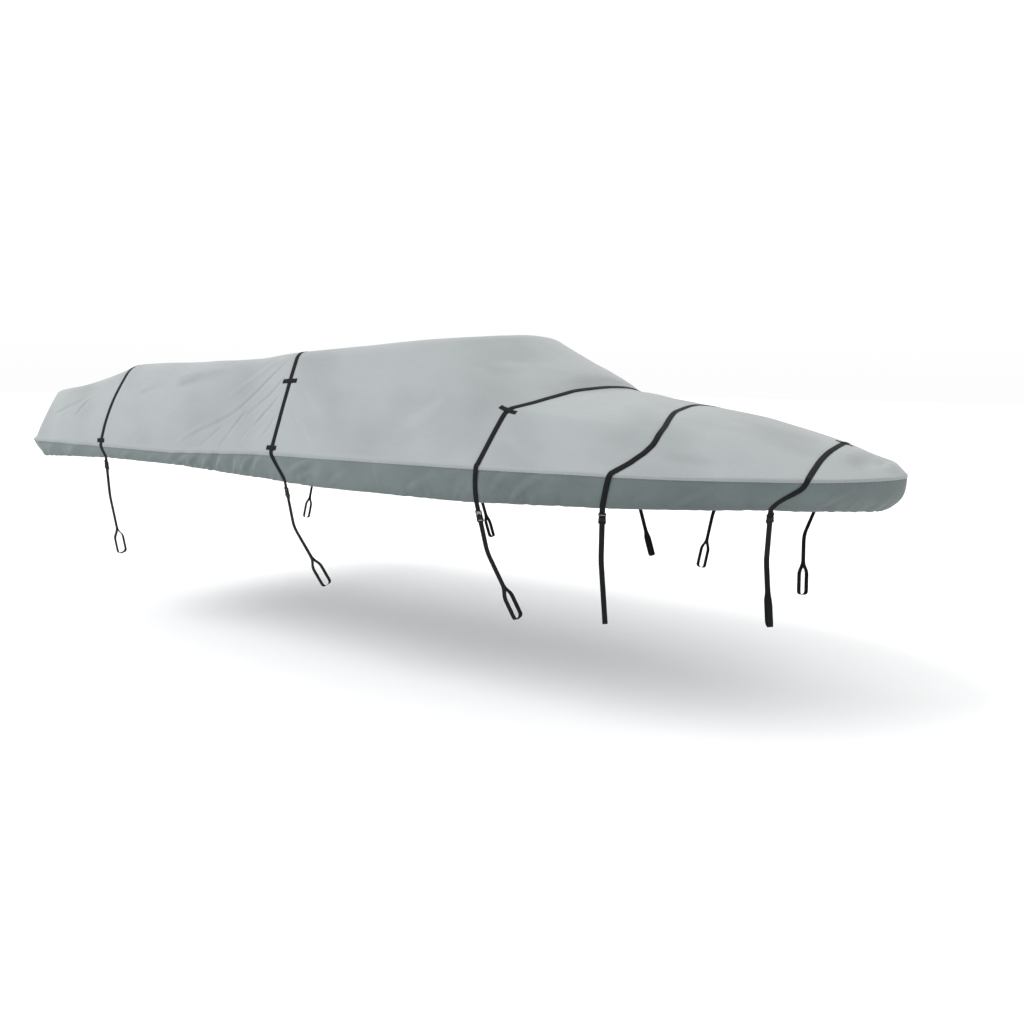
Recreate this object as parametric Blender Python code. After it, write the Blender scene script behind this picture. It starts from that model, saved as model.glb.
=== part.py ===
# Fitted boat cover: a light top panel, a darker side band sewn on along the gunwale line, five webbing
# straps over the top, their buckles, and lower straps that end in loops. Metres. +X points to the bow end,
# +Y to port, +Z up. The origin lies just under the middle of the top, where the cover is held up.

import math

import bmesh
import bpy
from mathutils import Vector
from mathutils.bvhtree import BVHTree

# ---- Driving dimensions -------------------------------------------------------------------------------
STERN_X = -2.665
BOW_X = 2.622
FLARE_X = 0.60            # the gunwale is widest here and closes to the bow from here on
MAX_HALF_BEAM = 1.035
STERN_TAPER = 0.010       # how much narrower the gunwale is at the stern
STERN_CORNER = 0.080      # length of the rounded corner at the stern
STERN_CORNER_IN = 0.028
AFT_LEAN = 0.040          # the aft wall leans out by this much at its foot
AFT_EDGE = 0.012          # soft edge between the top and the aft wall

CLOTH = 0.0025            # thickness of the sheet
SEAM_GAP = 0.0008
TABLE_SOFT = 0.050        # stations blend into each other over this length

WEB_WIDTH = 0.025
WEB_THICK = 0.0016
WEB_LIFT = 0.0012         # clearance between the webbing and the cloth
LOOP_WEB = 0.0024         # the lower strap is doubled webbing
BELT_THICK = 0.0014
BELT_LIFT = 0.0005        # clearance of a belt loop's sewn ends from the cloth

BUCKLE_LENGTH = 0.058
BUCKLE_THICK = 0.010
JOINT_GAP = 0.0005
LOOP_HALF_GAP = 0.029     # half the width of the opening of a lower strap's loop
LOOP_LENGTH = 0.165
LOOP_TAPER = 0.045
LOOP_CORNER = 0.018

WALL_ROWS = 5
HIP_ROWS = 3
TOP_ROWS = 7
HALF_ROWS = WALL_ROWS + HIP_ROWS + TOP_ROWS
HIP_START = 0.87          # the bend over the hip starts here, from 0 at the gunwale to 1 at the hip
AFT_ROWS = 3
BAND_FRACTIONS = (0.0, 0.30, 0.62, 0.86, 1.0)
HEM_TURN = 0.018          # the drawn hem turns in by this much
STRAP_BAND_STEPS = (1.0, 0.86, 0.74, 0.62, 0.46, 0.30, 0.15)

# Height of the gunwale line.
SHEER = (
    # x, z
    (-2.67, -0.616),
    (-1.20, -0.619),
    (-0.50, -0.589),
    (0.40, -0.581),
    (1.40, -0.573),
    (2.10, -0.581),
    (2.66, -0.601),
)

# One row for each section that shapes the cloth. hip_in and hip_up place the hip from the gunwale, crown_up
# is the height of the middle above the gunwale, sweep is how far forward of the gunwale the middle lies,
# and bulge is how far the wall swells out.
SECTIONS = (
    # x, hip_in, hip_up, crown_up, sweep, bulge, soft
    (-2.665, 0.188, 0.314, 0.380, 0.000, 0.008, 0.030),
    (-2.570, 0.192, 0.328, 0.394, 0.000, 0.014, 0.040),
    (-2.400, 0.198, 0.356, 0.420, 0.000, 0.026, 0.055),
    (-2.120, 0.212, 0.412, 0.466, 0.000, 0.030, 0.060),
    (-1.930, 0.215, 0.464, 0.505, 0.000, 0.030, 0.060),
    (-1.830, 0.218, 0.500, 0.522, 0.000, 0.029, 0.060),
    (-1.600, 0.224, 0.507, 0.524, 0.000, 0.026, 0.070),
    (-1.100, 0.228, 0.515, 0.530, 0.000, 0.014, 0.070),
    (-0.660, 0.228, 0.511, 0.526, 0.000, 0.008, 0.055),
    (-0.350, 0.228, 0.541, 0.558, 0.000, 0.002, 0.050),
    (0.000, 0.240, 0.556, 0.588, 0.000, 0.000, 0.055),
    (0.250, 0.262, 0.574, 0.646, 0.420, 0.000, 0.050),
    (0.950, 0.160, 0.255, 0.333, 0.250, 0.004, 0.040),
    (1.250, 0.165, 0.218, 0.297, 0.150, 0.008, 0.060),
    (1.580, 0.195, 0.176, 0.262, 0.070, 0.010, 0.070),
    (1.880, 0.232, 0.132, 0.222, 0.050, 0.008, 0.075),
    (2.260, 0.280, 0.088, 0.128, 0.040, 0.004, 0.080),
    (2.480, 0.190, 0.052, 0.074, 0.020, 0.002, 0.060),
    (2.560, 0.110, 0.038, 0.054, 0.008, 0.000, 0.040),
    (2.600, 0.050, 0.014, 0.018, 0.002, 0.000, 0.020),
    (2.622, 0.000, 0.003, 0.004, 0.000, 0.000, 0.010),
)
HIP_SWEEP = 0.28          # share of the sweep that the hip has already

# Depth of the side band below the gunwale, how far its hem is drawn in, and how late it curls in.
BAND = (
    # x, depth, drawn_in, curl
    (-2.67, 0.112, 0.044, 1.6),
    (-1.90, 0.082, 0.036, 1.5),
    (-1.20, 0.084, 0.036, 1.5),
    (-0.60, 0.135, 0.044, 1.5),
    (-0.10, 0.165, 0.050, 1.5),
    (0.80, 0.172, 0.055, 1.5),
    (1.60, 0.150, 0.055, 1.6),
    (2.20, 0.136, 0.065, 1.9),
    (2.50, 0.152, 0.088, 2.8),
    (2.63, 0.170, 0.092, 3.8),
)

# Spacing of the mesh's stations, closer where the cloth is creased.
SPANS = (
    # from, to, steps
    (-2.665, -2.57, 3),
    (-2.57, -1.98, 5),
    (-1.98, -1.78, 2),
    (-1.78, -1.24, 4),
    (-1.24, -0.34, 20),
    (-0.34, 0.16, 4),
    (0.16, 1.06, 10),
    (1.06, 2.28, 11),
    (2.28, 2.56, 4),
    (2.56, 2.622, 3),
)

# Tension creases in the wall, each along a line from low to high. up runs from 0 at the gunwale to 1 at the
# hip; a negative depth is a ridge.
CREASES = (
    # side, x_low, up_low, x_high, up_high, half_width, depth
    (-1, -0.73, 0.06, -0.46, 0.96, 0.034, 0.008),
    (-1, -1.14, 0.08, -0.79, 0.60, 0.036, 0.007),
    (-1, -0.62, 0.05, -0.45, 0.68, 0.032, 0.007),
    (-1, -0.90, 0.30, -0.62, 0.78, 0.040, -0.005),
    (-1, -1.34, 0.78, -0.95, 0.90, 0.055, 0.010),
    (-1, -2.42, 0.55, -2.24, 0.80, 0.060, 0.006),
    (1, -0.80, 0.06, -0.47, 0.92, 0.036, 0.008),
    (1, -1.02, 0.10, -0.68, 0.70, 0.034, 0.007),
    (1, -1.46, 0.74, -1.00, 0.88, 0.055, 0.009),
    (1, -0.58, 0.06, -0.43, 0.60, 0.032, 0.006),
)

# Gathers in the side band: waves of the cloth where the drawn hem has taken up slack.
GATHERS = (
    # x_middle, half_length, pitch, height
    (-0.82, 0.48, 0.150, 0.0060),
    (-0.08, 0.22, 0.170, 0.0050),
    (0.90, 0.30, 0.240, 0.0050),
    (-2.20, 0.35, 0.280, 0.0035),
)

# The five straps, counted from the stern. Each row gives where a strap's middle line lies on the cloth: up
# runs from -1 at the hem over 0 at the gunwale and 1 at the hip to 2 at the middle of the top, and x is the
# gunwale place of the section line that the strap lies on there.
STRAP_LINES = (
    # strap, up, x
    (1, -1.00, -1.890),
    (1, 0.00, -1.880),
    (1, 1.00, -1.830),
    (1, 2.00, -1.850),
    (2, -1.00, -0.300),
    (2, -0.70, -0.312),
    (2, 0.00, -0.355),
    (2, 1.00, -0.360),
    (2, 2.00, -0.360),
    (3, -1.00, 0.928),
    (3, 0.00, 0.960),
    (3, 1.25, 0.950),
    (3, 1.60, 0.900),
    (3, 2.00, 0.890),
    (4, -1.00, 1.545),
    (4, 0.00, 1.582),
    (4, 0.30, 1.640),
    (4, 0.60, 1.675),
    (4, 0.90, 1.690),
    (4, 1.15, 1.665),
    (4, 1.55, 1.575),
    (4, 2.00, 1.535),
    (5, -1.00, 2.205),
    (5, -0.72, 2.222),
    (5, -0.50, 2.252),
    (5, -0.28, 2.288),
    (5, 0.00, 2.302),
    (5, 1.00, 2.300),
    (5, 2.00, 2.305),
)

# What hangs below the hem. drop is the webbing between hem and buckle. The lower strap runs straight to its
# knee, where it bends, and on to the lowest point of its loop. turn is how far the loop is turned, in
# degrees, its front side towards the middle.
HANGERS = (
    # strap, drop, knee_x, knee_y, knee_z, loop_x, loop_y, loop_z, turn
    (1, 0.028, -1.985, 0.925, -0.961, -2.020, 0.842, -1.359, 0.0),
    (2, 0.035, -0.325, 0.915, -1.001, -0.160, 0.840, -1.321, 0.0),
    (3, 0.045, 0.942, 0.910, -0.991, 1.075, 0.838, -1.311, 0.0),
    (4, 0.030, 1.478, 0.790, -0.991, 1.454, 0.679, -1.308, 28.0),
    (5, 0.025, 2.108, 0.375, -0.991, 2.128, 0.336, -1.303, 28.0),
)

# Belt loops that hold the straps on the cloth; up as above. A row with sides 0 is one loop in the middle.
BELTS = (
    # strap, up, half_length, shift, sides
    (2, 0.67, 0.050, 0.000, 2),
    (3, 1.00, 0.048, 0.000, 2),
    (5, 2.00, 0.040, 0.000, 0),
    (1, 0.05, 0.036, -0.004, 2),
    (2, 0.05, 0.036, -0.004, 2),
)

COLOURS = {
    "top": (0.45, 0.49, 0.50, 1.0),
    "band": (0.19, 0.24, 0.235, 1.0),
    "webbing": (0.012, 0.014, 0.016, 1.0),
    "buckle": (0.010, 0.011, 0.012, 1.0),
}


# ---- Small helpers ------------------------------------------------------------------------------------
def lookup(table, x, column):
    """Read a column of a table at x, in straight steps between its rows."""
    if x <= table[0][0]:
        return table[0][column]
    for low, high in zip(table, table[1:]):
        if x <= high[0]:
            share = (x - low[0]) / (high[0] - low[0])
            return low[column] + share * (high[column] - low[column])
    return table[-1][column]


def soft_lookup(table, x, column):
    """The same, with its corners rounded over TABLE_SOFT and the ends kept."""
    reach = min(TABLE_SOFT, x - table[0][0], table[-1][0] - x)
    reach = max(reach, 0.0)
    steps = (-1.0, -0.5, 0.0, 0.5, 1.0)
    return sum(lookup(table, x + step * reach, column) for step in steps) / len(steps)


def material(name, roughness):
    made = bpy.data.materials.new(name)
    made.use_nodes = True
    shader = made.node_tree.nodes["Principled BSDF"]
    shader.inputs["Base Color"].default_value = COLOURS[name]
    shader.inputs["Roughness"].default_value = roughness
    shader.inputs["Metallic"].default_value = 0.0
    made.diffuse_color = COLOURS[name]
    return made


def add_object(name, mesh_builder, finish):
    """Turn a bmesh into an object with outward faces."""
    bmesh.ops.recalc_face_normals(mesh_builder, faces=mesh_builder.faces)
    if mesh_builder.calc_volume(signed=True) < 0.0:
        bmesh.ops.reverse_faces(mesh_builder, faces=mesh_builder.faces)
    mesh = bpy.data.meshes.new(name)
    mesh_builder.to_mesh(mesh)
    mesh_builder.free()
    made = bpy.data.objects.new(name, mesh)
    bpy.context.collection.objects.link(made)
    mesh.materials.append(finish)
    return made


# ---- The shape of the cloth ---------------------------------------------------------------------------
def half_beam(x):
    if x > FLARE_X:
        share = min((x - FLARE_X) / (BOW_X - FLARE_X), 1.0)
        return MAX_HALF_BEAM * (1.0 - share ** 3) ** 0.70
    share = (FLARE_X - x) / (FLARE_X - STERN_X)
    beam = MAX_HALF_BEAM - STERN_TAPER * share ** 2
    corner = (STERN_X + STERN_CORNER - x) / STERN_CORNER
    if corner > 0.0:
        beam -= STERN_CORNER_IN * (1.0 - math.sqrt(max(1.0 - corner ** 2, 0.0)))
    return beam


def gunwale_z(x):
    return soft_lookup(SHEER, x, 1)


def crease_depth(side, x, up):
    """How far the creases press the wall in at this place."""
    total = 0.0
    for row_side, x_low, up_low, x_high, up_high, half_width, depth in CREASES:
        if row_side != side:
            continue
        wall = 0.5
        along = Vector((x_high - x_low, (up_high - up_low) * wall))
        here = Vector((x - x_low, (up - up_low) * wall))
        share = here.dot(along) / along.length_squared
        fade = 1.0 - min(1.0, max(0.0, abs(share - 0.5) - 0.35) / 0.25)
        off = abs(along.x * here.y - along.y * here.x) / along.length
        total += depth * fade * math.exp(-(off / half_width) ** 2)
    return total


def half_section(x, side):
    """Points of one section from the gunwale to the middle."""
    beam = half_beam(x)
    low = gunwale_z(x)
    hip_y = max(beam - soft_lookup(SECTIONS, x, 1), 0.0)
    hip_z = low + soft_lookup(SECTIONS, x, 2)
    crown_z = low + soft_lookup(SECTIONS, x, 3)
    sweep = soft_lookup(SECTIONS, x, 4)
    bulge = soft_lookup(SECTIONS, x, 5)
    hip_x = x + HIP_SWEEP * sweep
    foot = Vector((x, beam, low))
    hip = Vector((hip_x, hip_y, hip_z))
    wall_length = max((hip - foot).length, 1e-6)
    out = Vector((0.0, hip_z - low, beam - hip_y)) / wall_length
    soft = min(soft_lookup(SECTIONS, x, 6), 0.35 * wall_length, 0.35 * hip_y)

    def wall(up):
        swell = bulge * 4.0 * up * (1.0 - up)
        return foot.lerp(hip, up) + out * (swell - crease_depth(side, x, up))

    def top(y):
        share = y / hip_y if hip_y > 0.0 else 0.0
        forward = (1.0 - HIP_SWEEP) * sweep * (1.0 - share ** 2)
        return Vector((hip_x + forward, y, crown_z - (crown_z - hip_z) * share ** 2))

    wall_end = 1.0 - soft / wall_length
    points = [wall(wall_end * row / WALL_ROWS) for row in range(WALL_ROWS + 1)]
    start = points[-1]
    end = top(hip_y - soft)
    for row in range(1, HIP_ROWS + 1):
        share = row / HIP_ROWS
        points.append(start * (1.0 - share) ** 2 + hip * 2.0 * share * (1.0 - share) + end * share ** 2)
    for row in range(1, TOP_ROWS + 1):
        points.append(top((hip_y - soft) * (1.0 - row / TOP_ROWS)))
    return points


def row_share(row):
    """The share up of a row: 0 at the gunwale, 1 at the hip, 2 at the middle."""
    if row <= WALL_ROWS:
        return HIP_START * row / WALL_ROWS
    if row <= WALL_ROWS + HIP_ROWS:
        return HIP_START + 2.0 * (1.0 - HIP_START) * (row - WALL_ROWS) / HIP_ROWS
    rest = (row - WALL_ROWS - HIP_ROWS) / TOP_ROWS
    return 2.0 - HIP_START + HIP_START * rest


def share_row(up):
    """The row, whole or in between, at a share up."""
    for row in range(HALF_ROWS):
        low, high = row_share(row), row_share(row + 1)
        if up <= high:
            return row + (up - low) / (high - low)
    return float(HALF_ROWS)


def station_places():
    places = [SPANS[0][0]]
    for low, high, steps in SPANS:
        places += [low + (high - low) * step / steps for step in range(1, steps + 1)]
    return places


class Cloth:
    """The outer face of the top panel as a grid of stations by rows, starboard gunwale to port gunwale."""

    def __init__(self):
        self.places = station_places()
        self.grid = []
        for x in self.places:
            starboard = half_section(x, -1)
            port = half_section(x, 1)
            row = [Vector((p.x, -p.y, p.z)) for p in starboard]
            row += list(reversed(port[:-1]))
            self.grid.append(row)

    def span(self, x):
        """The station below x and the share of the way to the next one."""
        places = self.places
        low = 0
        while low < len(places) - 2 and places[low + 1] < x:
            low += 1
        return low, (x - places[low]) / (places[low + 1] - places[low])

    def point(self, x, row):
        """The faceted surface at gunwale place x and row number row, either of them in between."""
        low, share = self.span(x)
        base = min(int(row), 2 * HALF_ROWS - 1)
        first = self.grid[low][base].lerp(self.grid[low + 1][base], share)
        second = self.grid[low][base + 1].lerp(self.grid[low + 1][base + 1], share)
        return first.lerp(second, row - base)

    def normal(self, x, row):
        low_row = max(row - 0.25, 0.0)
        high_row = min(row + 0.25, 2.0 * HALF_ROWS)
        along = self.point(x + 0.015, row) - self.point(x - 0.015, row)
        across = self.point(x, high_row) - self.point(x, low_row)
        return along.cross(across).normalized()


def aft_wall(cloth):
    """Rows of the aft wall below the first station: a soft edge, then down to the gunwale line."""
    edge = cloth.grid[0]
    low = gunwale_z(STERN_X)
    rows = []
    for step in range(AFT_ROWS + 1):
        share = step / AFT_ROWS
        row = []
        for p in edge:
            drop = AFT_EDGE * min(1.0, (p.z - low) / 0.12)
            row.append(Vector((
                p.x - AFT_EDGE - AFT_LEAN * share,
                p.y,
                (p.z - drop) * (1.0 - share) + low * share,
            )))
        rows.append(row)
    return rows


def sheet_object(name, rows, finish, closed):
    """A sheet of cloth from a grid of points, thickened inwards."""
    builder = bmesh.new()
    verts = [[builder.verts.new(p) for p in row] for row in rows]
    count = len(rows[0])
    for lower, upper in zip(verts, verts[1:]):
        for k in range(count if closed else count - 1):
            after = (k + 1) % count
            builder.faces.new((lower[k], upper[k], upper[after], lower[after]))
    bmesh.ops.remove_doubles(builder, verts=builder.verts, dist=0.0002)
    bmesh.ops.dissolve_degenerate(builder, edges=builder.edges, dist=0.0002)
    bmesh.ops.triangulate(builder, faces=builder.faces, quad_method="SHORT_EDGE")
    made = add_object(name, builder, finish)
    thick = made.modifiers.new("thickness", "SOLIDIFY")
    thick.thickness = CLOTH
    thick.offset = -1.0
    return made


def face_outwards(made, inside):
    """Turn the whole sheet over if its faces look at the inside point."""
    mesh = made.data
    votes = sum(p.area * p.normal.dot(p.center - inside) for p in mesh.polygons)
    if votes < 0.0:
        mesh.flip_normals()


# ---- Side band ----------------------------------------------------------------------------------------
def perimeter(cloth, aft):
    """The gunwale line as a closed loop from the bow, with a wall point above each place."""
    last = 2 * HALF_ROWS
    loop = []
    for row in reversed(cloth.grid):
        loop.append((row[0], row[1]))
    loop[0] = (loop[0][0], cloth.grid[-2][HALF_ROWS])
    foot = aft[-1]
    above = aft[-2]
    for k in range(last + 1):
        loop.append((foot[k], above[min(max(k, 1), last - 1)]))
    for row in cloth.grid[:-1]:
        loop.append((row[last], row[last - 1]))
    return loop


def gather(x, y, share):
    """Outward swell of the band's gathers, leaning aft as they rise."""
    total = 0.0
    for middle, half_length, pitch, height in GATHERS:
        window = max(0.0, 1.0 - abs(x - middle) / half_length)
        phase = (x + 0.10 * share + (0.05 if y > 0.0 else 0.0)) / pitch
        total += height * window ** 0.5 * math.sin(2.0 * math.pi * phase)
    return total * math.sin(math.pi * min(share * 1.1, 1.0))


def band_rows(loop):
    """Rows of the band from its seam to its turned hem."""
    count = len(loop)
    rows = [[] for _ in range(len(BAND_FRACTIONS) + 1)]
    for k, (place, above) in enumerate(loop):
        before = loop[k - 1][0]
        after = loop[(k + 1) % count][0]
        tangent = after - before
        out = Vector((tangent.y, -tangent.x, 0.0)).normalized()
        if out.dot(Vector((place.x, place.y, 0.0))) < 0.0:
            out = -out
        wall = (above - place).normalized()
        depth = soft_lookup(BAND, place.x, 1)
        drawn = soft_lookup(BAND, place.x, 2)
        curl = soft_lookup(BAND, place.x, 3)
        wall_tilt = abs(wall.cross(Vector((-out.y, out.x, 0.0))).normalized().z)
        band_tilt = drawn * BAND_FRACTIONS[1] ** curl / (BAND_FRACTIONS[1] * depth)
        drop = CLOTH * (wall_tilt + band_tilt) + SEAM_GAP
        for number, share in enumerate(BAND_FRACTIONS):
            swell = gather(place.x, place.y, share)
            inward = drawn * share ** curl - swell
            down = drop + (depth - drop) * share
            rows[number].append(place - out * inward - Vector((0.0, 0.0, down)))
        hem = rows[len(BAND_FRACTIONS) - 1][-1]
        rows[-1].append(hem - out * HEM_TURN - Vector((0.0, 0.0, 0.001)))
    return rows


class Band:
    """The outer face of the side band, to lay webbing on."""

    def __init__(self, cloth, rows):
        self.cloth = cloth
        self.rows = rows

    def on_row(self, x, side, number):
        count = len(self.cloth.places)
        row = self.rows[number]
        low, share = self.cloth.span(x)
        if side < 0:
            first, second = row[count - 1 - low], row[count - 2 - low]
        else:
            first, second = row[len(row) - count + 1 + low], row[len(row) - count + 2 + low]
        return first.lerp(second, share)

    def point(self, x, side, share):
        number = 0
        while number < len(BAND_FRACTIONS) - 2 and BAND_FRACTIONS[number + 1] < share:
            number += 1
        low, high = BAND_FRACTIONS[number], BAND_FRACTIONS[number + 1]
        part = (share - low) / (high - low)
        return self.on_row(x, side, number).lerp(self.on_row(x, side, number + 1), part)

    def normal(self, x, side, share):
        along = self.point(x + 0.015, side, share) - self.point(x - 0.015, side, share)
        high = self.point(x, side, max(share - 0.12, 0.0))
        low = self.point(x, side, min(share + 0.12, 1.0))
        normal = along.cross(high - low).normalized()
        return normal if normal.y * side > 0.0 else -normal


# ---- Webbing ------------------------------------------------------------------------------------------
def surface_tree(objects):
    """A search tree of the outer faces of the cloth, before it is thickened."""
    points = []
    faces = []
    for made in objects:
        base = len(points)
        points += [v.co.copy() for v in made.data.vertices]
        faces += [[base + k for k in p.vertices] for p in made.data.polygons]
    return BVHTree.FromPolygons(points, faces)


def cloth_height(tree, point, across, normal, width):
    """How far the cloth rises over a point, anywhere below a strap of this width."""
    reach = 0.03
    highest = 0.0
    for share in (-0.52, -0.39, -0.26, -0.13, 0.0, 0.13, 0.26, 0.39, 0.52):
        start = point + across * (share * width) + normal * reach
        distance = tree.ray_cast(start, -normal, 2.0 * reach)[3]
        if distance is not None:
            highest = max(highest, reach - distance)
    return highest


def lifted(tree, frames, lifts, width):
    """Frames raised so that the strap clears the cloth by its lifts, also between the frames."""
    raised = [
        lift + cloth_height(tree, point, across, normal, width)
        for (point, across, normal), lift in zip(frames, lifts)
    ]
    for k in range(len(frames) - 1):
        first, second = frames[k], frames[k + 1]
        for share in (0.17, 0.33, 0.50, 0.67, 0.83):
            point, across, normal = [first[i].lerp(second[i], share) for i in range(3)]
            height = cloth_height(tree, point, across.normalized(), normal.normalized(), width)
            here = raised[k] + (raised[k + 1] - raised[k]) * share
            need = height + 0.8 * min(lifts[k], lifts[k + 1]) - here
            if need > 0.0:
                raised[k] += need
                raised[k + 1] += need
    return [
        (point + normal * lift, across, normal)
        for (point, across, normal), lift in zip(frames, raised)
    ]


def ribbon(name, frames, width, thick, finish):
    """A flat strap through frames of (middle of its lower face, direction across, normal)."""
    builder = bmesh.new()
    rings = []
    for middle, across, normal in frames:
        side = across * (width / 2.0)
        top = normal * thick
        corners = (middle - side, middle + side, middle + side + top, middle - side + top)
        rings.append([builder.verts.new(p) for p in corners])
    for first, second in zip(rings, rings[1:]):
        for k in range(4):
            after = (k + 1) % 4
            builder.faces.new((first[k], first[after], second[after], second[k]))
    builder.faces.new(rings[0])
    builder.faces.new(list(reversed(rings[-1])))
    return add_object(name, builder, finish)


def strap_x(number, up):
    rows = [(row[1], row[2]) for row in STRAP_LINES if row[0] == number]
    return lookup(rows, up, 1)


def laid_line(number, side, cloth, band):
    """Points and normals on the cloth along a strap, from the hem to the middle of the top."""
    line = []
    for share in STRAP_BAND_STEPS:
        x = strap_x(number, -share)
        normal = band.normal(x, side, share)
        line.append((band.point(x, side, share), normal))
    for row in range(HALF_ROWS + 1):
        x = strap_x(number, row_share(row))
        real_row = row if side < 0 else 2 * HALF_ROWS - row
        normal = cloth.normal(x, real_row)
        if row == 0:
            normal = (normal + band.normal(x, side, 0.15)).normalized()
        line.append((cloth.point(x, real_row), normal))
    return line


def hanger(number, side, hem_point, hem_normal, hem_across):
    """Places and directions of the buckle and the lower strap below the hem."""
    row = HANGERS[number - 1]
    knee = Vector((row[2], side * row[3], row[4]))
    end = Vector((row[5], side * row[6], row[7]))
    turn = math.radians(row[8])
    loop_across = Vector((math.cos(turn), -side * math.sin(turn), 0.0))
    top_down = (knee - hem_point).normalized()
    low_down = (end - knee).normalized()
    frames = []
    for down, hint in ((top_down, hem_across), (low_down, loop_across)):
        across = (hint - down * hint.dot(down)).normalized()
        out = down.cross(across).normalized()
        if out.y * side < 0.0:
            out = -out
        frames.append((down, across, out))
    tip = hem_point + top_down * row[1]
    return {"tip": tip, "knee": knee, "end": end, "top": frames[0], "low": frames[1]}


def over_strap(number, cloth, band, tree, finish):
    """One strap from buckle to buckle. Returns what hangs at its two ends."""
    halves = []
    hangers = []
    for side in (-1, 1):
        line = laid_line(number, side, cloth, band)
        hem, normal = line[0]
        hem = hem + normal * (WEB_LIFT + WEB_THICK / 2.0)
        hem_across = (line[1][0] - line[0][0]).cross(normal).normalized()
        if hem_across.x < 0.0:
            hem_across = -hem_across
        hang = hanger(number, side, hem, normal, hem_across)
        hangers.append(hang)
        halves.append([(hang["tip"] - hang["top"][2] * (WEB_THICK / 2.0), hang["top"][2])] + line)
    line = halves[0] + list(reversed(halves[1][:-1]))
    frames = []
    for k, (point, normal) in enumerate(line):
        before = line[max(k - 1, 0)][0]
        after = line[min(k + 1, len(line) - 1)][0]
        across = (after - before).cross(normal).normalized()
        frames.append((point, across, normal))
    laid = lifted(tree, frames[1:-1], [WEB_LIFT] * (len(frames) - 2), WEB_WIDTH)
    ribbon(f"over_strap_{number}", [frames[0]] + laid + [frames[-1]], WEB_WIDTH, WEB_THICK, finish)
    return hangers


def belt_loop(name, number, up, half_length, shift, side, cloth, tree, finish):
    """A short tab sewn down fore and aft of the strap, with the strap passing under it."""
    row = share_row(up)
    if side > 0:
        row = 2 * HALF_ROWS - row
    place = strap_x(number, up)
    high = WEB_LIFT + WEB_THICK + 0.0012
    steps = (
        # distance along from the strap's middle, lift from the cloth
        (shift - half_length, BELT_LIFT),
        (-0.0220, BELT_LIFT),
        (-0.0150, high),
        (0.0150, high),
        (0.0220, BELT_LIFT),
        (shift + half_length, BELT_LIFT),
    )
    frames = []
    for distance, lift in steps:
        x = place + distance
        normal = cloth.normal(x, row)
        along = (cloth.point(x + 0.015, row) - cloth.point(x - 0.015, row)).normalized()
        frames.append((cloth.point(x, row), normal.cross(along).normalized(), normal))
    ribbon(name, lifted(tree, frames, [lift for _, lift in steps], WEB_WIDTH), WEB_WIDTH, BELT_THICK, finish)


# ---- Buckles and lower straps -------------------------------------------------------------------------
def buckle(name, hang, finish):
    """A side-release buckle: a flat body with a waist at its two grips."""
    down, across, out = hang["top"]
    half = (
        # distance along, half width
        (0.000, 0.0150),
        (0.004, 0.0172),
        (0.016, 0.0172),
        (0.021, 0.0140),
        (0.037, 0.0140),
        (0.042, 0.0172),
        (0.054, 0.0172),
        (BUCKLE_LENGTH, 0.0150),
    )
    outline = [(a, w) for a, w in half] + [(a, -w) for a, w in reversed(half)]
    start = hang["tip"] + down * JOINT_GAP - out * (BUCKLE_THICK / 2.0)
    builder = bmesh.new()
    verts = [builder.verts.new(start + down * a + across * w) for a, w in outline]
    face = builder.faces.new(verts)
    extruded = bmesh.ops.extrude_face_region(builder, geom=[face])
    moved = [v for v in extruded["geom"] if isinstance(v, bmesh.types.BMVert)]
    bmesh.ops.translate(builder, verts=moved, vec=out * BUCKLE_THICK)
    add_object(name, builder, finish)


def loop_outlines(first, knee, length):
    """Outer and inner outline of a lower strap laid flat: x is outwards, y runs down along it."""
    fork = length - LOOP_LENGTH
    half = LOOP_WEB / 2.0
    gap = LOOP_HALF_GAP
    corner = LOOP_CORNER
    line = (
        (0.0, fork),
        (-gap, fork + LOOP_TAPER),
        (-gap, length - corner - half),
        (-gap + corner * 0.3, length - corner * 0.3 - half),
        (-gap + corner, length - half),
        (gap - corner, length - half),
        (gap - corner * 0.3, length - corner * 0.3 - half),
        (gap, length - corner - half),
        (gap, fork + LOOP_TAPER),
    )

    def offset(distance):
        moved = []
        for k, here in enumerate(line):
            before = Vector(here) - Vector(line[k - 1])
            after = Vector(line[(k + 1) % len(line)]) - Vector(here)
            first_out = Vector((-before.y, before.x)).normalized()
            second_out = Vector((-after.y, after.x)).normalized()
            middle = (first_out + second_out).normalized()
            moved.append(Vector(here) + middle * distance / max(middle.dot(first_out), 0.3))
        return moved

    outside = offset(half)
    inside = offset(-half)
    middle = Vector((0.0, length - LOOP_LENGTH / 2.0))
    if (outside[4] - middle).length < (inside[4] - middle).length:
        outside, inside = inside, outside
    lean = math.atan2(gap, LOOP_TAPER)
    root = fork - half * (1.0 - math.cos(lean)) / math.sin(lean)
    stem_left = [Vector((-half, y)) for y in (first, knee, root)]
    stem_right = [Vector((half, y)) for y in (root, knee, first)]
    return stem_left + outside[1:] + stem_right, inside, root


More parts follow.
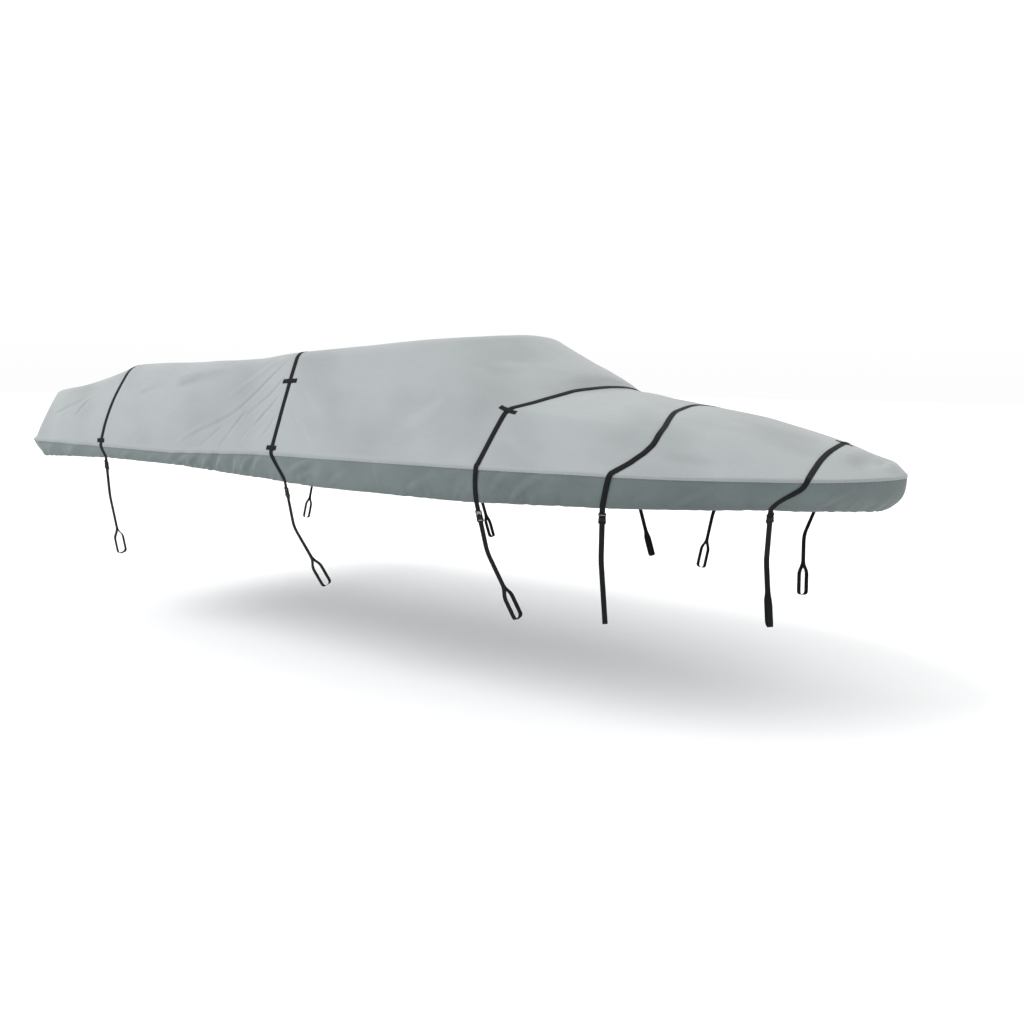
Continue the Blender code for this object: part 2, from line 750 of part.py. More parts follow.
def lower_strap(name, hang, finish):
    """Doubled webbing from the buckle down over its knee to a closed loop."""
    tip, knee, end = hang["tip"], hang["knee"], hang["end"]
    knee_at = (knee - tip).length
    length = knee_at + (end - knee).length
    first = BUCKLE_LENGTH + 2.0 * JOINT_GAP
    outer, inner, root = loop_outlines(first, knee_at, length)
    top_across, top_out = hang["top"][1:]
    low_across, low_out = hang["low"][1:]

    def bend(p):
        """From the flat outline to its place: the stem turns over the knee, the loop stays plane."""
        if p.y <= knee_at:
            along = tip + hang["top"][0] * p.y
            share = 0.5 * (p.y - first) / (knee_at - first)
        else:
            along = knee + hang["low"][0] * (p.y - knee_at)
            share = min(0.5 + 0.5 * (p.y - knee_at) / (root - knee_at), 1.0)
        across = top_across.lerp(low_across, share).normalized()
        out = top_out.lerp(low_out, share).normalized()
        return along + out * p.x + across * p.z

    builder = bmesh.new()
    edges = []
    for points in (outer, inner):
        verts = [builder.verts.new((p.x, p.y, -WEB_WIDTH / 2.0)) for p in points]
        edges += [builder.edges.new((verts[k - 1], verts[k])) for k in range(len(verts))]
    bmesh.ops.triangle_fill(builder, edges=edges, use_beauty=True)
    extruded = bmesh.ops.extrude_face_region(builder, geom=list(builder.faces))
    moved = [v for v in extruded["geom"] if isinstance(v, bmesh.types.BMVert)]
    bmesh.ops.translate(builder, verts=moved, vec=(0.0, 0.0, WEB_WIDTH))
    for vert in builder.verts:
        vert.co = bend(vert.co.copy())
    add_object(name, builder, finish)


# ---- Build --------------------------------------------------------------------------------------------
def build():
    for old in list(bpy.data.objects):
        bpy.data.objects.remove(old, do_unlink=True)
    top_finish = material("top", 0.85)
    band_finish = material("band", 0.88)
    web_finish = material("webbing", 0.80)
    buckle_finish = material("buckle", 0.45)

    cloth = Cloth()
    aft = aft_wall(cloth)
    inside = Vector((0.0, 0.0, -0.60))
    top = sheet_object("top_panel", list(reversed(aft)) + cloth.grid, top_finish, closed=False)
    face_outwards(top, inside)
    rows = band_rows(perimeter(cloth, aft))
    band = sheet_object("side_band", rows, band_finish, closed=True)
    face_outwards(band, inside)

    sides = {-1: "starboard", 1: "port"}
    surface = Band(cloth, rows)
    tree = surface_tree((top, band))
    for row in HANGERS:
        number = row[0]
        hangers = over_strap(number, cloth, surface, tree, web_finish)
        for side, hang in zip((-1, 1), hangers):
            buckle(f"buckle_{number}_{sides[side]}", hang, buckle_finish)
            lower_strap(f"lower_strap_{number}_{sides[side]}", hang, web_finish)
    for number, up, half_length, shift, both in BELTS:
        level = "low" if up < 0.5 else "high"
        if both == 0:
            name = f"belt_loop_{number}_middle"
            belt_loop(name, number, up, half_length, shift, -1, cloth, tree, web_finish)
        for side in (-1, 1)[:both]:
            name = f"belt_loop_{number}_{level}_{sides[side]}"
            belt_loop(name, number, up, half_length, shift, side, cloth, tree, web_finish)


build()
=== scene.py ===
# %% [markdown]
# A fitted boat cover, dressed
#
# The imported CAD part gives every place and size. This script builds the cloth, the webbing and the buckles
# again with the detail that a camera sees: taut panels with creases, a gathered side band with a drawn
# hem, woven straps that lie on the cloth, stitched belt loops and moulded buckles. All sizes are in metres.
# +X points to the bow end, +Y to port and +Z up, and y is negative to starboard.

# %% Load the frame
import math

import bmesh
import bpy
import numpy as np
from mathutils import Matrix, Vector
from mathutils.bvhtree import BVHTree


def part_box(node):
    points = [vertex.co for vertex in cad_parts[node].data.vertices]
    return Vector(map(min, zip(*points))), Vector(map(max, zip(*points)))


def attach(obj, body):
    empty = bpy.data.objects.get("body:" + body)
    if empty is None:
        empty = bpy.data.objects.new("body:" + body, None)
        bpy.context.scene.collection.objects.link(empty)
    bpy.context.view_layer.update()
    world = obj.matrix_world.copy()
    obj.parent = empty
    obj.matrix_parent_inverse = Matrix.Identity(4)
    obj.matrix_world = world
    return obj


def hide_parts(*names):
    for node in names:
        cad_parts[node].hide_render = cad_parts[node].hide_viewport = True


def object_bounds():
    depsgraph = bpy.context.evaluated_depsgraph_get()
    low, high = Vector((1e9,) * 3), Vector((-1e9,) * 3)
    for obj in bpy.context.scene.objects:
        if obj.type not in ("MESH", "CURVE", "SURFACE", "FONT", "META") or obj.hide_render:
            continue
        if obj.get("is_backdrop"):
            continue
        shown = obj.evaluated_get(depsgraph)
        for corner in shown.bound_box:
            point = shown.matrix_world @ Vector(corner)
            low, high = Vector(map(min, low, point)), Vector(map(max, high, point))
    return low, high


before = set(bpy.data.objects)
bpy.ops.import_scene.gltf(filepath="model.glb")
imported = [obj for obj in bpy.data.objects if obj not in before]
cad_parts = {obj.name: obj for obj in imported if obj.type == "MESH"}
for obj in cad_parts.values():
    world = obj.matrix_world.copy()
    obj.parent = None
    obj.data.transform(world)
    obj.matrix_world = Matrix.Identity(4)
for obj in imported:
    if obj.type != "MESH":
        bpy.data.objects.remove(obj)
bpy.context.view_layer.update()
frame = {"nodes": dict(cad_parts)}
FLOOR_Z = -1.831

# %% [markdown]
# The cover's shape is a row of sections from stern to bow. Each table below says how one thing changes
# along it: the height of the rim, where the light cloth is sewn to the dark band, the section of the light
# cloth above it, and the depth of the band below it. A simulated cloth would settle where it likes. This
# one is strapped taut, so tables, which put every panel where the real one is, suit it better.

# %% Sizes of the cloth
STERN_X = -2.665
BOW_X = 2.622
WIDEST_X = 0.60           # the rim is widest here
WIDEST_HALF = 1.035
BOW_ROUNDNESS = 3         # powers that round the rim in towards the bow
BOW_BLUNTNESS = 0.70
STERN_TAPER = 0.010
STERN_CORNER = 0.080      # the stern's corners turn in over this length
STERN_CORNER_IN = 0.028
AFT_LEAN = 0.040          # the aft wall's foot stands this far behind its upper edge
AFT_EDGE = 0.012          # radius of that upper edge
AFT_EDGE_FADE = 0.12      # the edge's drop shrinks to nothing from this height down to the rim
HIP_SWEEP = 0.28          # the share of a section's forward sweep that its hip takes
HIP_LIMIT = 0.35          # the longest soft hip, as a share of the wall or of the half width
TABLE_SOFT = 0.050        # half the stretch over which a table is averaged
CLOTH_THICK = 0.0012      # thickness of the band
LAP_LENGTH = 0.012        # the top cloth laps over the band by this much
LAP_OUT = 0.0022          # and stands this far proud of it
HEM_TURN = 0.018          # the hem is turned in by this much
INSIDE = (0.0, 0.0, -0.60)        # a point inside the cover
LONG_AXIS_WEIGHT = (0.2, 1.0, 1.0)

RIM_HEIGHT = (
    # x, z
    (-2.67, -0.616),
    (-1.20, -0.619),
    (-0.50, -0.589),
    (0.40, -0.581),
    (1.40, -0.573),
    (2.10, -0.581),
    (2.66, -0.601),
)

SECTIONS = (
    # hip_in is how far the hip lies inside the rim, and hip_up and crown_up are heights over it.
    # sweep is how far forward the middle lies, bulge the fullness of the wall, soft the reach of the hip.
    # x, hip_in, hip_up, crown_up, sweep, bulge, soft
    (-2.665, 0.188, 0.314, 0.380, 0.000, 0.008, 0.030),
    (-2.570, 0.192, 0.328, 0.394, 0.000, 0.014, 0.040),
    (-2.400, 0.198, 0.356, 0.420, 0.000, 0.026, 0.055),
    (-2.120, 0.212, 0.412, 0.466, 0.000, 0.030, 0.060),
    (-1.930, 0.215, 0.464, 0.505, 0.000, 0.030, 0.060),
    (-1.830, 0.218, 0.500, 0.522, 0.000, 0.029, 0.060),
    (-1.600, 0.224, 0.507, 0.524, 0.000, 0.026, 0.070),
    (-1.100, 0.228, 0.515, 0.530, 0.000, 0.014, 0.070),
    (-0.660, 0.228, 0.511, 0.526, 0.000, 0.008, 0.055),
    (-0.350, 0.228, 0.541, 0.558, 0.000, 0.002, 0.050),
    (0.000, 0.240, 0.556, 0.588, 0.000, 0.000, 0.055),
    (0.250, 0.262, 0.574, 0.646, 0.420, 0.000, 0.050),
    (0.950, 0.160, 0.255, 0.333, 0.250, 0.004, 0.040),
    (1.250, 0.165, 0.218, 0.297, 0.150, 0.008, 0.060),
    (1.580, 0.195, 0.176, 0.262, 0.070, 0.010, 0.070),
    (1.880, 0.232, 0.132, 0.222, 0.050, 0.008, 0.075),
    (2.260, 0.280, 0.088, 0.128, 0.040, 0.004, 0.080),
    (2.480, 0.190, 0.052, 0.074, 0.020, 0.002, 0.060),
    (2.560, 0.110, 0.038, 0.054, 0.008, 0.000, 0.040),
    (2.600, 0.050, 0.014, 0.018, 0.002, 0.000, 0.020),
    (2.622, 0.000, 0.003, 0.004, 0.000, 0.000, 0.010),
)

BAND = (
    # drawn_in is how far the hem lies inside the rim, and a higher curl draws it in further down.
    # x, depth, drawn_in, curl
    (-2.67, 0.112, 0.044, 1.6),
    (-1.90, 0.082, 0.036, 1.5),
    (-1.20, 0.084, 0.036, 1.5),
    (-0.60, 0.135, 0.044, 1.5),
    (-0.10, 0.165, 0.050, 1.5),
    (0.80, 0.172, 0.055, 1.5),
    (1.60, 0.150, 0.055, 1.6),
    (2.20, 0.136, 0.065, 1.9),
    (2.50, 0.152, 0.088, 2.8),
    (2.63, 0.170, 0.092, 3.8),
)

SPANS = (
    # from, to, steps: how closely the cloth is sampled along its length
    (-2.665, -2.585, 10),
    (-2.585, -1.980, 50),
    (-1.980, -1.300, 64),
    (-1.300, -0.260, 160),
    (-0.260, 0.750, 76),
    (0.750, 2.300, 96),
    (2.300, 2.560, 22),
    (2.560, 2.600, 7),
    (2.600, 2.622, 10),
)
WALL_ROWS = 52            # rows of points up the wall, over the hip and in to the middle
HIP_ROWS = 9
TOP_ROWS = 20
HALF_ROWS = WALL_ROWS + HIP_ROWS + TOP_ROWS
HIP_START = 0.87          # the share up where the rows of the hip start
AFT_ROWS = 26
AFT_STEP = 0.02           # rows of the aft wall count as places this far apart
AFT_CORNER = 0.024        # the foot of the aft wall turns its corners with this radius
AFT_CORNER_HEIGHT = 0.10  # and is square again this far above the rim
CORNER_REACH = 0.115      # the drawn hem turns its corners over this length
print("tables", len(SECTIONS), "sections,", len(BAND), "band depths")

# %% [markdown]
# Straight steps between the rows of a table would show as kinks in the cloth, so the tables are read as an
# average over a short stretch. The rim in plan comes from a formula, because a power curve gives the full
# sides and the blunt point of the bow with two numbers.

# %% Reading the tables
def lookup(table, x, column):
    """A column of a table at x, in straight steps between its rows."""
    return float(np.interp(x, [row[0] for row in table], [row[column] for row in table]))


def soft_lookup(table, x, column):
    """The same, with its corners rounded over TABLE_SOFT and the ends kept."""
    reach = max(min(TABLE_SOFT, x - table[0][0], table[-1][0] - x), 0.0)
    places = x + reach * np.linspace(-1.0, 1.0, 9)
    return float(np.interp(places, [row[0] for row in table], [row[column] for row in table]).mean())


def rim_half(x):
    """Half the width of the rim at x."""
    if x > WIDEST_X:
        share = min((x - WIDEST_X) / (BOW_X - WIDEST_X), 1.0)
        return WIDEST_HALF * (1.0 - share ** BOW_ROUNDNESS) ** BOW_BLUNTNESS
    share = (WIDEST_X - x) / (WIDEST_X - STERN_X)
    half = WIDEST_HALF - STERN_TAPER * share ** 2
    corner = (STERN_X + STERN_CORNER - x) / STERN_CORNER
    if corner > 0.0:
        half -= STERN_CORNER_IN * (1.0 - math.sqrt(max(1.0 - corner ** 2, 0.0)))
    return half


def station_places():
    """The places along the cover that have a section."""
    places = [SPANS[0][0]]
    for low, high, steps in SPANS:
        places += [low + (high - low) * step / steps for step in range(1, steps + 1)]
    return places


print("stations", len(station_places()), "rows across", 2 * HALF_ROWS + 1)

# %% [markdown]
# One section runs from the rim up the wall, over a soft hip and in to the middle. Rows of equal rank in
# all sections make a grid, and the share up of a row is 0 at the rim, 1 at the hip and 2 in the middle. On
# the port side the shares go on to 4, so one number says how far across a place is. A grid of points is
# used because creases and straps can then be laid on the cloth by place and share.

# %% One section of the top cloth
def row_shares():
    """The share up of each row of a section."""
    wall = [HIP_START * k / WALL_ROWS for k in range(WALL_ROWS + 1)]
    hip = [HIP_START + 2.0 * (1.0 - HIP_START) * k / HIP_ROWS for k in range(1, HIP_ROWS + 1)]
    top = [2.0 - HIP_START + HIP_START * k / TOP_ROWS for k in range(1, TOP_ROWS + 1)]
    return np.array(wall + hip + top)


def half_section(x):
    """Points of one starboard section, from the rim to the middle, before any crease."""
    half = rim_half(x)
    low = soft_lookup(RIM_HEIGHT, x, 1)
    hip_y = max(half - soft_lookup(SECTIONS, x, 1), 0.0)
    hip_z = low + soft_lookup(SECTIONS, x, 2)
    crown_z = low + soft_lookup(SECTIONS, x, 3)
    sweep = soft_lookup(SECTIONS, x, 4)
    bulge = soft_lookup(SECTIONS, x, 5)
    hip_x = x + HIP_SWEEP * sweep
    foot = np.array((x, half, low))
    hip = np.array((hip_x, hip_y, hip_z))
    wall_length = max(float(np.linalg.norm(hip - foot)), 1e-6)
    out = np.array((0.0, hip_z - low, half - hip_y)) / wall_length
    soft = min(soft_lookup(SECTIONS, x, 6), HIP_LIMIT * wall_length, HIP_LIMIT * hip_y)

    def top_point(y):
        """The top at y, which sinks and sweeps back from the middle to the hip."""
        share = y / hip_y if hip_y > 0.0 else 0.0
        forward = (1.0 - HIP_SWEEP) * sweep * (1.0 - share ** 2)
        return np.array((hip_x + forward, y, crown_z - (crown_z - hip_z) * share ** 2))

    wall_end = 1.0 - soft / wall_length
    up = np.linspace(0.0, wall_end, WALL_ROWS + 1)[:, None]
    wall = foot + (hip - foot) * up + out * (bulge * 4.0 * up * (1.0 - up))
    start, end = wall[-1], top_point(hip_y - soft)
    bend = np.linspace(0.0, 1.0, HIP_ROWS + 1)[1:, None]
    over = start * (1.0 - bend) ** 2 + hip * 2.0 * bend * (1.0 - bend) + end * bend ** 2
    flat = np.array([top_point((hip_y - soft) * (1.0 - k / TOP_ROWS)) for k in range(1, TOP_ROWS + 1)])
    points = np.vstack((wall, over, flat))
    points[:, 1] *= -1.0
    return points


print("points in a section", len(row_shares()))
print("half width of the rim at x 0", round(rim_half(0.0), 3), "m")

# %% [markdown]
# The same grid serves the cloth, its creases and its straps. So it can give its points and normals at any
# place between its rows, by blending the four points around it. Normals come from the steps to the
# neighbouring points, and are turned so that they look out of the cover.

# %% Grids of points
def kept_inside(number, count):
    """A row's number, held just short of the last of count rows, so that there is a next one."""
    return float(np.clip(number, 0.0, count - 1.001))


def blend(field, along, across):
    """A field of a grid between four of its points. Past the last row along comes the first again."""
    i, j = int(along) % len(field), int(across)
    after = (i + 1) % len(field)
    u, v = along - int(along), across - j
    low = field[i, j] * (1.0 - v) + field[i, j + 1] * v
    high = field[after, j] * (1.0 - v) + field[after, j + 1] * v
    return low * (1.0 - u) + high * u


class Grid:
    """A sheet of points: places along the cover by rows across it, with a normal at each point."""

    def __init__(self, places, shares, points):
        self.places = np.array(places)
        self.shares = np.array(shares)
        self.points = points
        self.normals = grid_normals(points)

    def rank(self, share):
        """The number of the row across at a share, between two rows if need be."""
        return kept_inside(np.interp(share, self.shares, np.arange(len(self.shares))), len(self.shares))

    def at(self, field, place, share):
        """A field of the grid at a place along the cover and a share across it."""
        along = np.interp(place, self.places, np.arange(len(self.places)))
        return blend(field, kept_inside(along, len(self.places)), self.rank(share))


def unit(vectors):
    """Vectors at a length of one."""
    length = np.linalg.norm(vectors, axis=-1, keepdims=True)
    return vectors / np.maximum(length, 1e-9)


def turned_to(directions, wanted):
    """Directions, each turned round where it points against the wanted one."""
    against = np.sum(directions * wanted, axis=-1, keepdims=True) < 0.0
    return np.where(against, -directions, directions)


def grid_normals(points):
    """Normals of a grid of points, turned away from the inside, with little weight on the long axis."""
    normals = unit(np.cross(np.gradient(points, axis=0), np.gradient(points, axis=1)))
    return turned_to(normals, points * np.array(LONG_AXIS_WEIGHT) - np.array(INSIDE))


# %% [markdown]
# The aft wall hangs from the first section over a soft edge and leans out to its foot. On the real cover it
# is part of the same panel, so its rows go on from the sections in the one grid, and its foot turns its two
# corners with the radius of the seam there.

# %% The aft wall and the whole top cloth
AFT_EDGE_TURNS = (0.2, 0.4, 0.6, 0.8)     # rows round the soft edge, as shares of a quarter turn


def aft_wall(edge):
    """Rows of the aft wall from its foot up to the soft edge below the first section."""
    low = soft_lookup(RIM_HEIGHT, STERN_X, 1)
    drop = AFT_EDGE * np.minimum(1.0, (edge[:, 2] - low) / AFT_EDGE_FADE)
    rows = []
    for turn in AFT_EDGE_TURNS:
        angle = turn * math.pi / 2.0
        row = edge.copy()
        row[:, 0] -= AFT_EDGE * math.sin(angle)
        row[:, 2] -= drop * (1.0 - math.cos(angle))
        rows.append(row)
    for share in np.linspace(0.0, 1.0, AFT_ROWS + 1):
        row = edge.copy()
        row[:, 0] -= AFT_EDGE + AFT_LEAN * share
        row[:, 2] = (edge[:, 2] - drop) * (1.0 - share) + low * share
        rows.append(row)
    return rows[::-1]


def round_foot(points):
    """Turn the two corners of the aft wall's foot from square to round."""
    foot_x, side_y = points[0, 0, 0], abs(points[0, 0, 1])
    low = points[0, 0, 2]
    near = np.clip(1.0 - (points[..., 2] - low) / AFT_CORNER_HEIGHT, 0.0, 1.0)
    aft = np.maximum(foot_x + AFT_CORNER - points[..., 0], 0.0)
    out = np.maximum(np.abs(points[..., 1]) - (side_y - AFT_CORNER), 0.0)
    keep = np.maximum(aft, out) / np.maximum(np.hypot(aft, out), 1e-9)
    keep = 1.0 - (1.0 - np.where((aft > 0.0) & (out > 0.0), keep, 1.0)) * near
    points[..., 0] += aft * (1.0 - keep)
    points[..., 1] -= np.sign(points[..., 1]) * out * (1.0 - keep)
    return points


def top_grid():
    """The whole top cloth: the aft wall's rows, then the sections, each mirrored to port."""
    halves = np.array([half_section(x) for x in station_places()])
    port = halves[:, -2::-1, :] * np.array((1.0, -1.0, 1.0))
    sections = np.concatenate((halves, port), axis=1)
    shares = row_shares()
    across = np.concatenate((shares, 4.0 - shares[-2::-1]))
    aft = np.array(aft_wall(sections[0]))
    aft_places = [STERN_X - AFT_STEP * (len(aft) - k) for k in range(len(aft))]
    points = round_foot(np.concatenate((aft, sections), axis=0))
    return Grid(aft_places + station_places(), across, points)


top = top_grid()
print("top grid", top.points.shape)

# %% [markdown]
# Cloth under tension doesn't stay smooth. Each crease is a line on the cloth, given by a few places and
# shares up, and raises a soft ridge with a shallow trough on either side. A negative height makes a trough.
# They fan out aft of the second strap on the starboard wall, as in the photograph. The port side has its own.
# A noise texture would scatter folds evenly, so the large ones are listed one by one and only the slow
# swelling between them is random.

# %% Where the creases run
CREASES = (
    # side, half_width, height, places (x, up) from its strong end to its faint end
    (-1, 0.0095, -0.0066, ((-0.40, 0.90), (-0.50, 0.76), (-0.62, 0.57), (-0.74, 0.40), (-0.90, 0.27),
                           (-1.12, 0.12))),
    (-1, 0.0090, -0.0062, ((-0.39, 0.74), (-0.47, 0.58), (-0.57, 0.44), (-0.66, 0.33))),
    (-1, 0.0085, -0.0060, ((-0.40, 0.56), (-0.46, 0.42), (-0.55, 0.26), (-0.63, 0.10))),
    (-1, 0.0085, -0.0058, ((-0.64, 0.42), (-0.69, 0.29), (-0.74, 0.16), (-0.79, 0.04))),
    (-1, 0.0085, 0.0050, ((-0.50, 0.40), (-0.56, 0.24), (-0.62, 0.08))),
    (-1, 0.0090, -0.0052, ((-0.39, 0.36), (-0.42, 0.24), (-0.47, 0.10))),
    (-1, 0.0110, 0.0044, ((-0.45, 0.94), (-0.58, 0.84), (-0.72, 0.70), (-0.86, 0.54))),
    (-1, 0.0085, -0.0044, ((-0.80, 0.26), (-0.88, 0.15), (-0.97, 0.04))),
    (-1, 0.0085, 0.0036, ((-0.95, 0.30), (-1.06, 0.20), (-1.18, 0.08))),
    (-1, 0.0300, -0.0085, ((-1.31, 0.72), (-1.13, 0.80), (-0.93, 0.83))),
    (-1, 0.0110, 0.0046, ((-1.36, 0.80), (-1.18, 0.87), (-1.00, 0.90), (-0.84, 0.91))),
    (-1, 0.0220, -0.0050, ((-1.62, 0.60), (-1.50, 0.68), (-1.38, 0.70))),
    (-1, 0.0120, -0.0056, ((-2.24, 0.38), (-2.20, 0.54), (-2.13, 0.72))),
    (-1, 0.0120, -0.0050, ((-2.50, 0.46), (-2.36, 0.58), (-2.20, 0.68))),
    (-1, 0.0110, 0.0034, ((-2.08, 0.74), (-2.20, 0.62), (-2.30, 0.46))),
    (-1, 0.0100, -0.0040, ((-0.29, 0.40), (-0.22, 0.26), (-0.15, 0.06))),
    (-1, 0.0100, 0.0030, ((-0.24, 0.34), (-0.14, 0.20), (-0.05, 0.04))),
    (-1, 0.0240, 0.0026, ((-0.24, 0.60), (-0.12, 0.42), (0.02, 0.22))),
    (-1, 0.0300, 0.0028, ((0.62, 0.70), (0.52, 0.45), (0.40, 0.18))),
    (-1, 0.0260, 0.0022, ((1.02, 0.60), (1.12, 0.40), (1.26, 0.16))),
    (-1, 0.0300, -0.0028, ((1.75, 0.55), (1.95, 0.50), (2.12, 0.46))),
    (1, 0.0095, -0.0064, ((-0.43, 0.84), (-0.55, 0.68), (-0.70, 0.46), (-0.86, 0.28), (-1.02, 0.12))),
    (1, 0.0090, 0.0054, ((-0.41, 0.62), (-0.50, 0.44), (-0.60, 0.28), (-0.70, 0.12))),
    (1, 0.0085, -0.0054, ((-0.44, 0.40), (-0.52, 0.22), (-0.58, 0.06))),
    (1, 0.0090, 0.0040, ((-0.74, 0.34), (-0.82, 0.20), (-0.90, 0.06))),
    (1, 0.0280, -0.0080, ((-1.40, 0.74), (-1.20, 0.80), (-1.02, 0.86))),
    (1, 0.0150, -0.0050, ((-2.34, 0.56), (-2.24, 0.64), (-2.18, 0.70))),
    (1, 0.0260, 0.0024, ((1.06, 0.56), (1.18, 0.36), (1.32, 0.18))),
    (1, 0.0120, 0.0034, ((-0.26, 0.42), (-0.18, 0.26), (-0.10, 0.08))),
)

TOP_FOLDS = (
    # half_width, height, places (x, share) on the upper cloth, with a share past 2 to port
    (0.050, -0.0120, ((-1.52, 1.40), (-1.20, 1.70), (-1.15, 2.30), (-1.40, 2.60))),
    (0.030, 0.0045, ((-0.42, 1.20), (-0.62, 1.45), (-0.90, 1.75))),
    (0.028, 0.0040, ((-0.42, 2.80), (-0.66, 2.50), (-0.95, 2.20))),
    (0.040, -0.0060, ((-2.46, 1.50), (-2.30, 2.00), (-2.40, 2.50))),
    (0.024, 0.0035, ((-1.92, 1.30), (-2.10, 1.60), (-2.34, 1.80))),
    (0.070, -0.0210, ((0.95, 2.90), (0.93, 2.70), (0.88, 2.35), (0.86, 2.00), (0.88, 1.65), (0.93, 1.30))),
    (0.036, 0.0030, ((0.55, 1.30), (0.66, 1.60), (0.80, 1.85))),
    (0.034, 0.0030, ((0.52, 2.75), (0.64, 2.45), (0.82, 2.20))),
    (0.055, -0.0110, ((2.420, 0.70), (2.430, 1.40), (2.430, 2.60), (2.420, 3.30))),
    (0.020, 0.0170, ((2.540, 0.70), (2.560, 1.50), (2.560, 2.50), (2.540, 3.30))),
)
print("creases", len(CREASES), "and folds", len(TOP_FOLDS))

# %% [markdown]
# A crease is strongest where the cloth is caught and fades out where it is free. Its height falls off from
# its line like a bell curve, and a wider, shallower bell under it makes the troughs, so the cloth between two
# creases stays taut. The line itself runs softly through its places.

# %% Laying a crease
RIDGE_RISE = 0.14         # a ridge rises from nothing over this share of its length
RIDGE_FALL = 0.12         # and dies away over this one
RIDGE_LOSS = 0.70         # the share of its height that it loses on the way
RIDGE_SPREAD = 0.5        # and how much wider it gets
TROUGH_DEPTH = 0.42       # the troughs beside it, as shares of its height and width
TROUGH_WIDTH = 2.3
SWELL_WAVES = 7
SWELL_LEVEL = 2.6         # what the sum of the waves is divided by
PHASES = (0.0, 6.28)      # the range that the start of a wave is drawn from
TOP_SWELLS = (
    # seed, pitch, height
    (7, 0.62, 0.0022),
    (11, 0.22, 0.0007),
)


def distance_to_line(points, line):
    """How far each point lies from a polyline, and how far along the line its nearest place is, 0 to 1."""
    line = np.array(line)
    steps = np.linalg.norm(np.diff(line, axis=0), axis=1)
    reached = np.concatenate(((0.0,), np.cumsum(steps)))
    best = np.full(points.shape[:-1], 1e9)
    share = np.zeros(points.shape[:-1])
    for k in range(len(line) - 1):
        step = line[k + 1] - line[k]
        t = np.clip(((points - line[k]) @ step) / max(step @ step, 1e-12), 0.0, 1.0)
        off = np.linalg.norm(points - (line[k] + t[..., None] * step), axis=-1)
        nearer = off < best
        best = np.where(nearer, off, best)
        share = np.where(nearer, (reached[k] + t * steps[k]) / reached[-1], share)
    return best, share


def smooth_line(line, steps=6):
    """Points of a soft curve through a line's own points."""
    line = [np.array(p, float) for p in line]
    ends = [2.0 * line[0] - line[1], *line, 2.0 * line[-1] - line[-2]]
    soft = []
    for a, b, c, d in zip(ends, ends[1:], ends[2:], ends[3:]):
        for k in range(steps):
            t = k / steps
            soft.append(0.5 * (2.0 * b + (c - a) * t + (2.0 * a - 5.0 * b + 4.0 * c - d) * t ** 2
                               + (3.0 * b - a - 3.0 * c + d) * t ** 3))
    return np.array(soft + [line[-1]])


def ridge(points, line, half_width, height):
    """A ridge along a line, strong near its start and faint at its end, with troughs beside it."""
    off, share = distance_to_line(points, line)
    ends = np.clip(share / RIDGE_RISE, 0.0, 1.0) * np.clip((1.0 - share) / RIDGE_FALL, 0.0, 1.0)
    strength = height * (1.0 - RIDGE_LOSS * share ** 1.5) * ends ** 0.8
    width = half_width * (1.0 + RIDGE_SPREAD * share)
    troughs = TROUGH_DEPTH * np.exp(-(off / (TROUGH_WIDTH * width)) ** 2)
    return strength * (np.exp(-(off / width) ** 2) - troughs)


def line_on(grid, places):
    """A soft line over the grid through places (x, share)."""
    return np.array([grid.at(grid.points, x, share) for x, share in smooth_line(places)])


def swell(points, seed, pitch, height):
    """Slow uneven swelling of a taut cloth, from a few sine waves in set directions."""
    random = np.random.default_rng(seed)
    total = np.zeros(points.shape[:-1])
    for _ in range(SWELL_WAVES):
        direction = random.normal(size=3)
        direction /= np.linalg.norm(direction)
        wave = 2.0 * math.pi / (pitch * random.uniform(0.7, 1.5))
        total += np.sin(points @ direction * wave + random.uniform(*PHASES))
    return height * total / SWELL_LEVEL


print("points of the first crease, once softened", len(smooth_line(CREASES[0][3])))

# %% [markdown]
# Five straps cross the cover. Each one's line is a few places on the cloth, from its hem at a share of -1
# over the rim at 0 and the hip at 1 to the middle at 2, and the other side mirrors it. They are placed
# before the cloth is finished, because a tight strap presses a shallow groove into the cloth below it.

# %% Places of the straps
STRAP_LINES = (
    # strap, share up, x
    (1, -1.00, -1.890), (1, 0.00, -1.880), (1, 1.00, -1.830), (1, 2.00, -1.850),
    (2, -1.00, -0.300), (2, -0.70, -0.312), (2, 0.00, -0.355), (2, 1.00, -0.360), (2, 2.00, -0.360),
    (3, -1.00, 0.928), (3, 0.00, 0.960), (3, 1.25, 0.950), (3, 1.60, 0.900), (3, 2.00, 0.890),
    (4, -1.00, 1.545), (4, 0.00, 1.582), (4, 0.30, 1.640), (4, 0.60, 1.675), (4, 0.90, 1.690),
    (4, 1.15, 1.665), (4, 1.55, 1.575), (4, 2.00, 1.535),
    (5, -1.00, 2.205), (5, -0.72, 2.222), (5, -0.50, 2.252), (5, -0.28, 2.288), (5, 0.00, 2.302),
    (5, 1.00, 2.300), (5, 2.00, 2.305),
)
STRAPS = (1, 2, 3, 4, 5)
SIDES = {-1: "starboard", 1: "port"}
STRAP_SOFT = 0.06         # a strap's line is evened out over this share up
STRAP_GROOVE = 0.020      # half the width of the groove that a strap presses
TOP_GROOVE = (0.0030, 0.0012, 0.055)      # its depth, then the height and reach of the swell beside it
BAND_GROOVE = (0.0028, 0.0016, 0.050)
MIDDLE_Y = 0.02           # creases of the starboard side end here
RIM_FADE = 0.05           # relief dies away within this share of the rim
TIP_FADE = 0.10           # within this length of the bow
FOOT_FADE = 4.0           # and within this many rows of the aft wall's foot


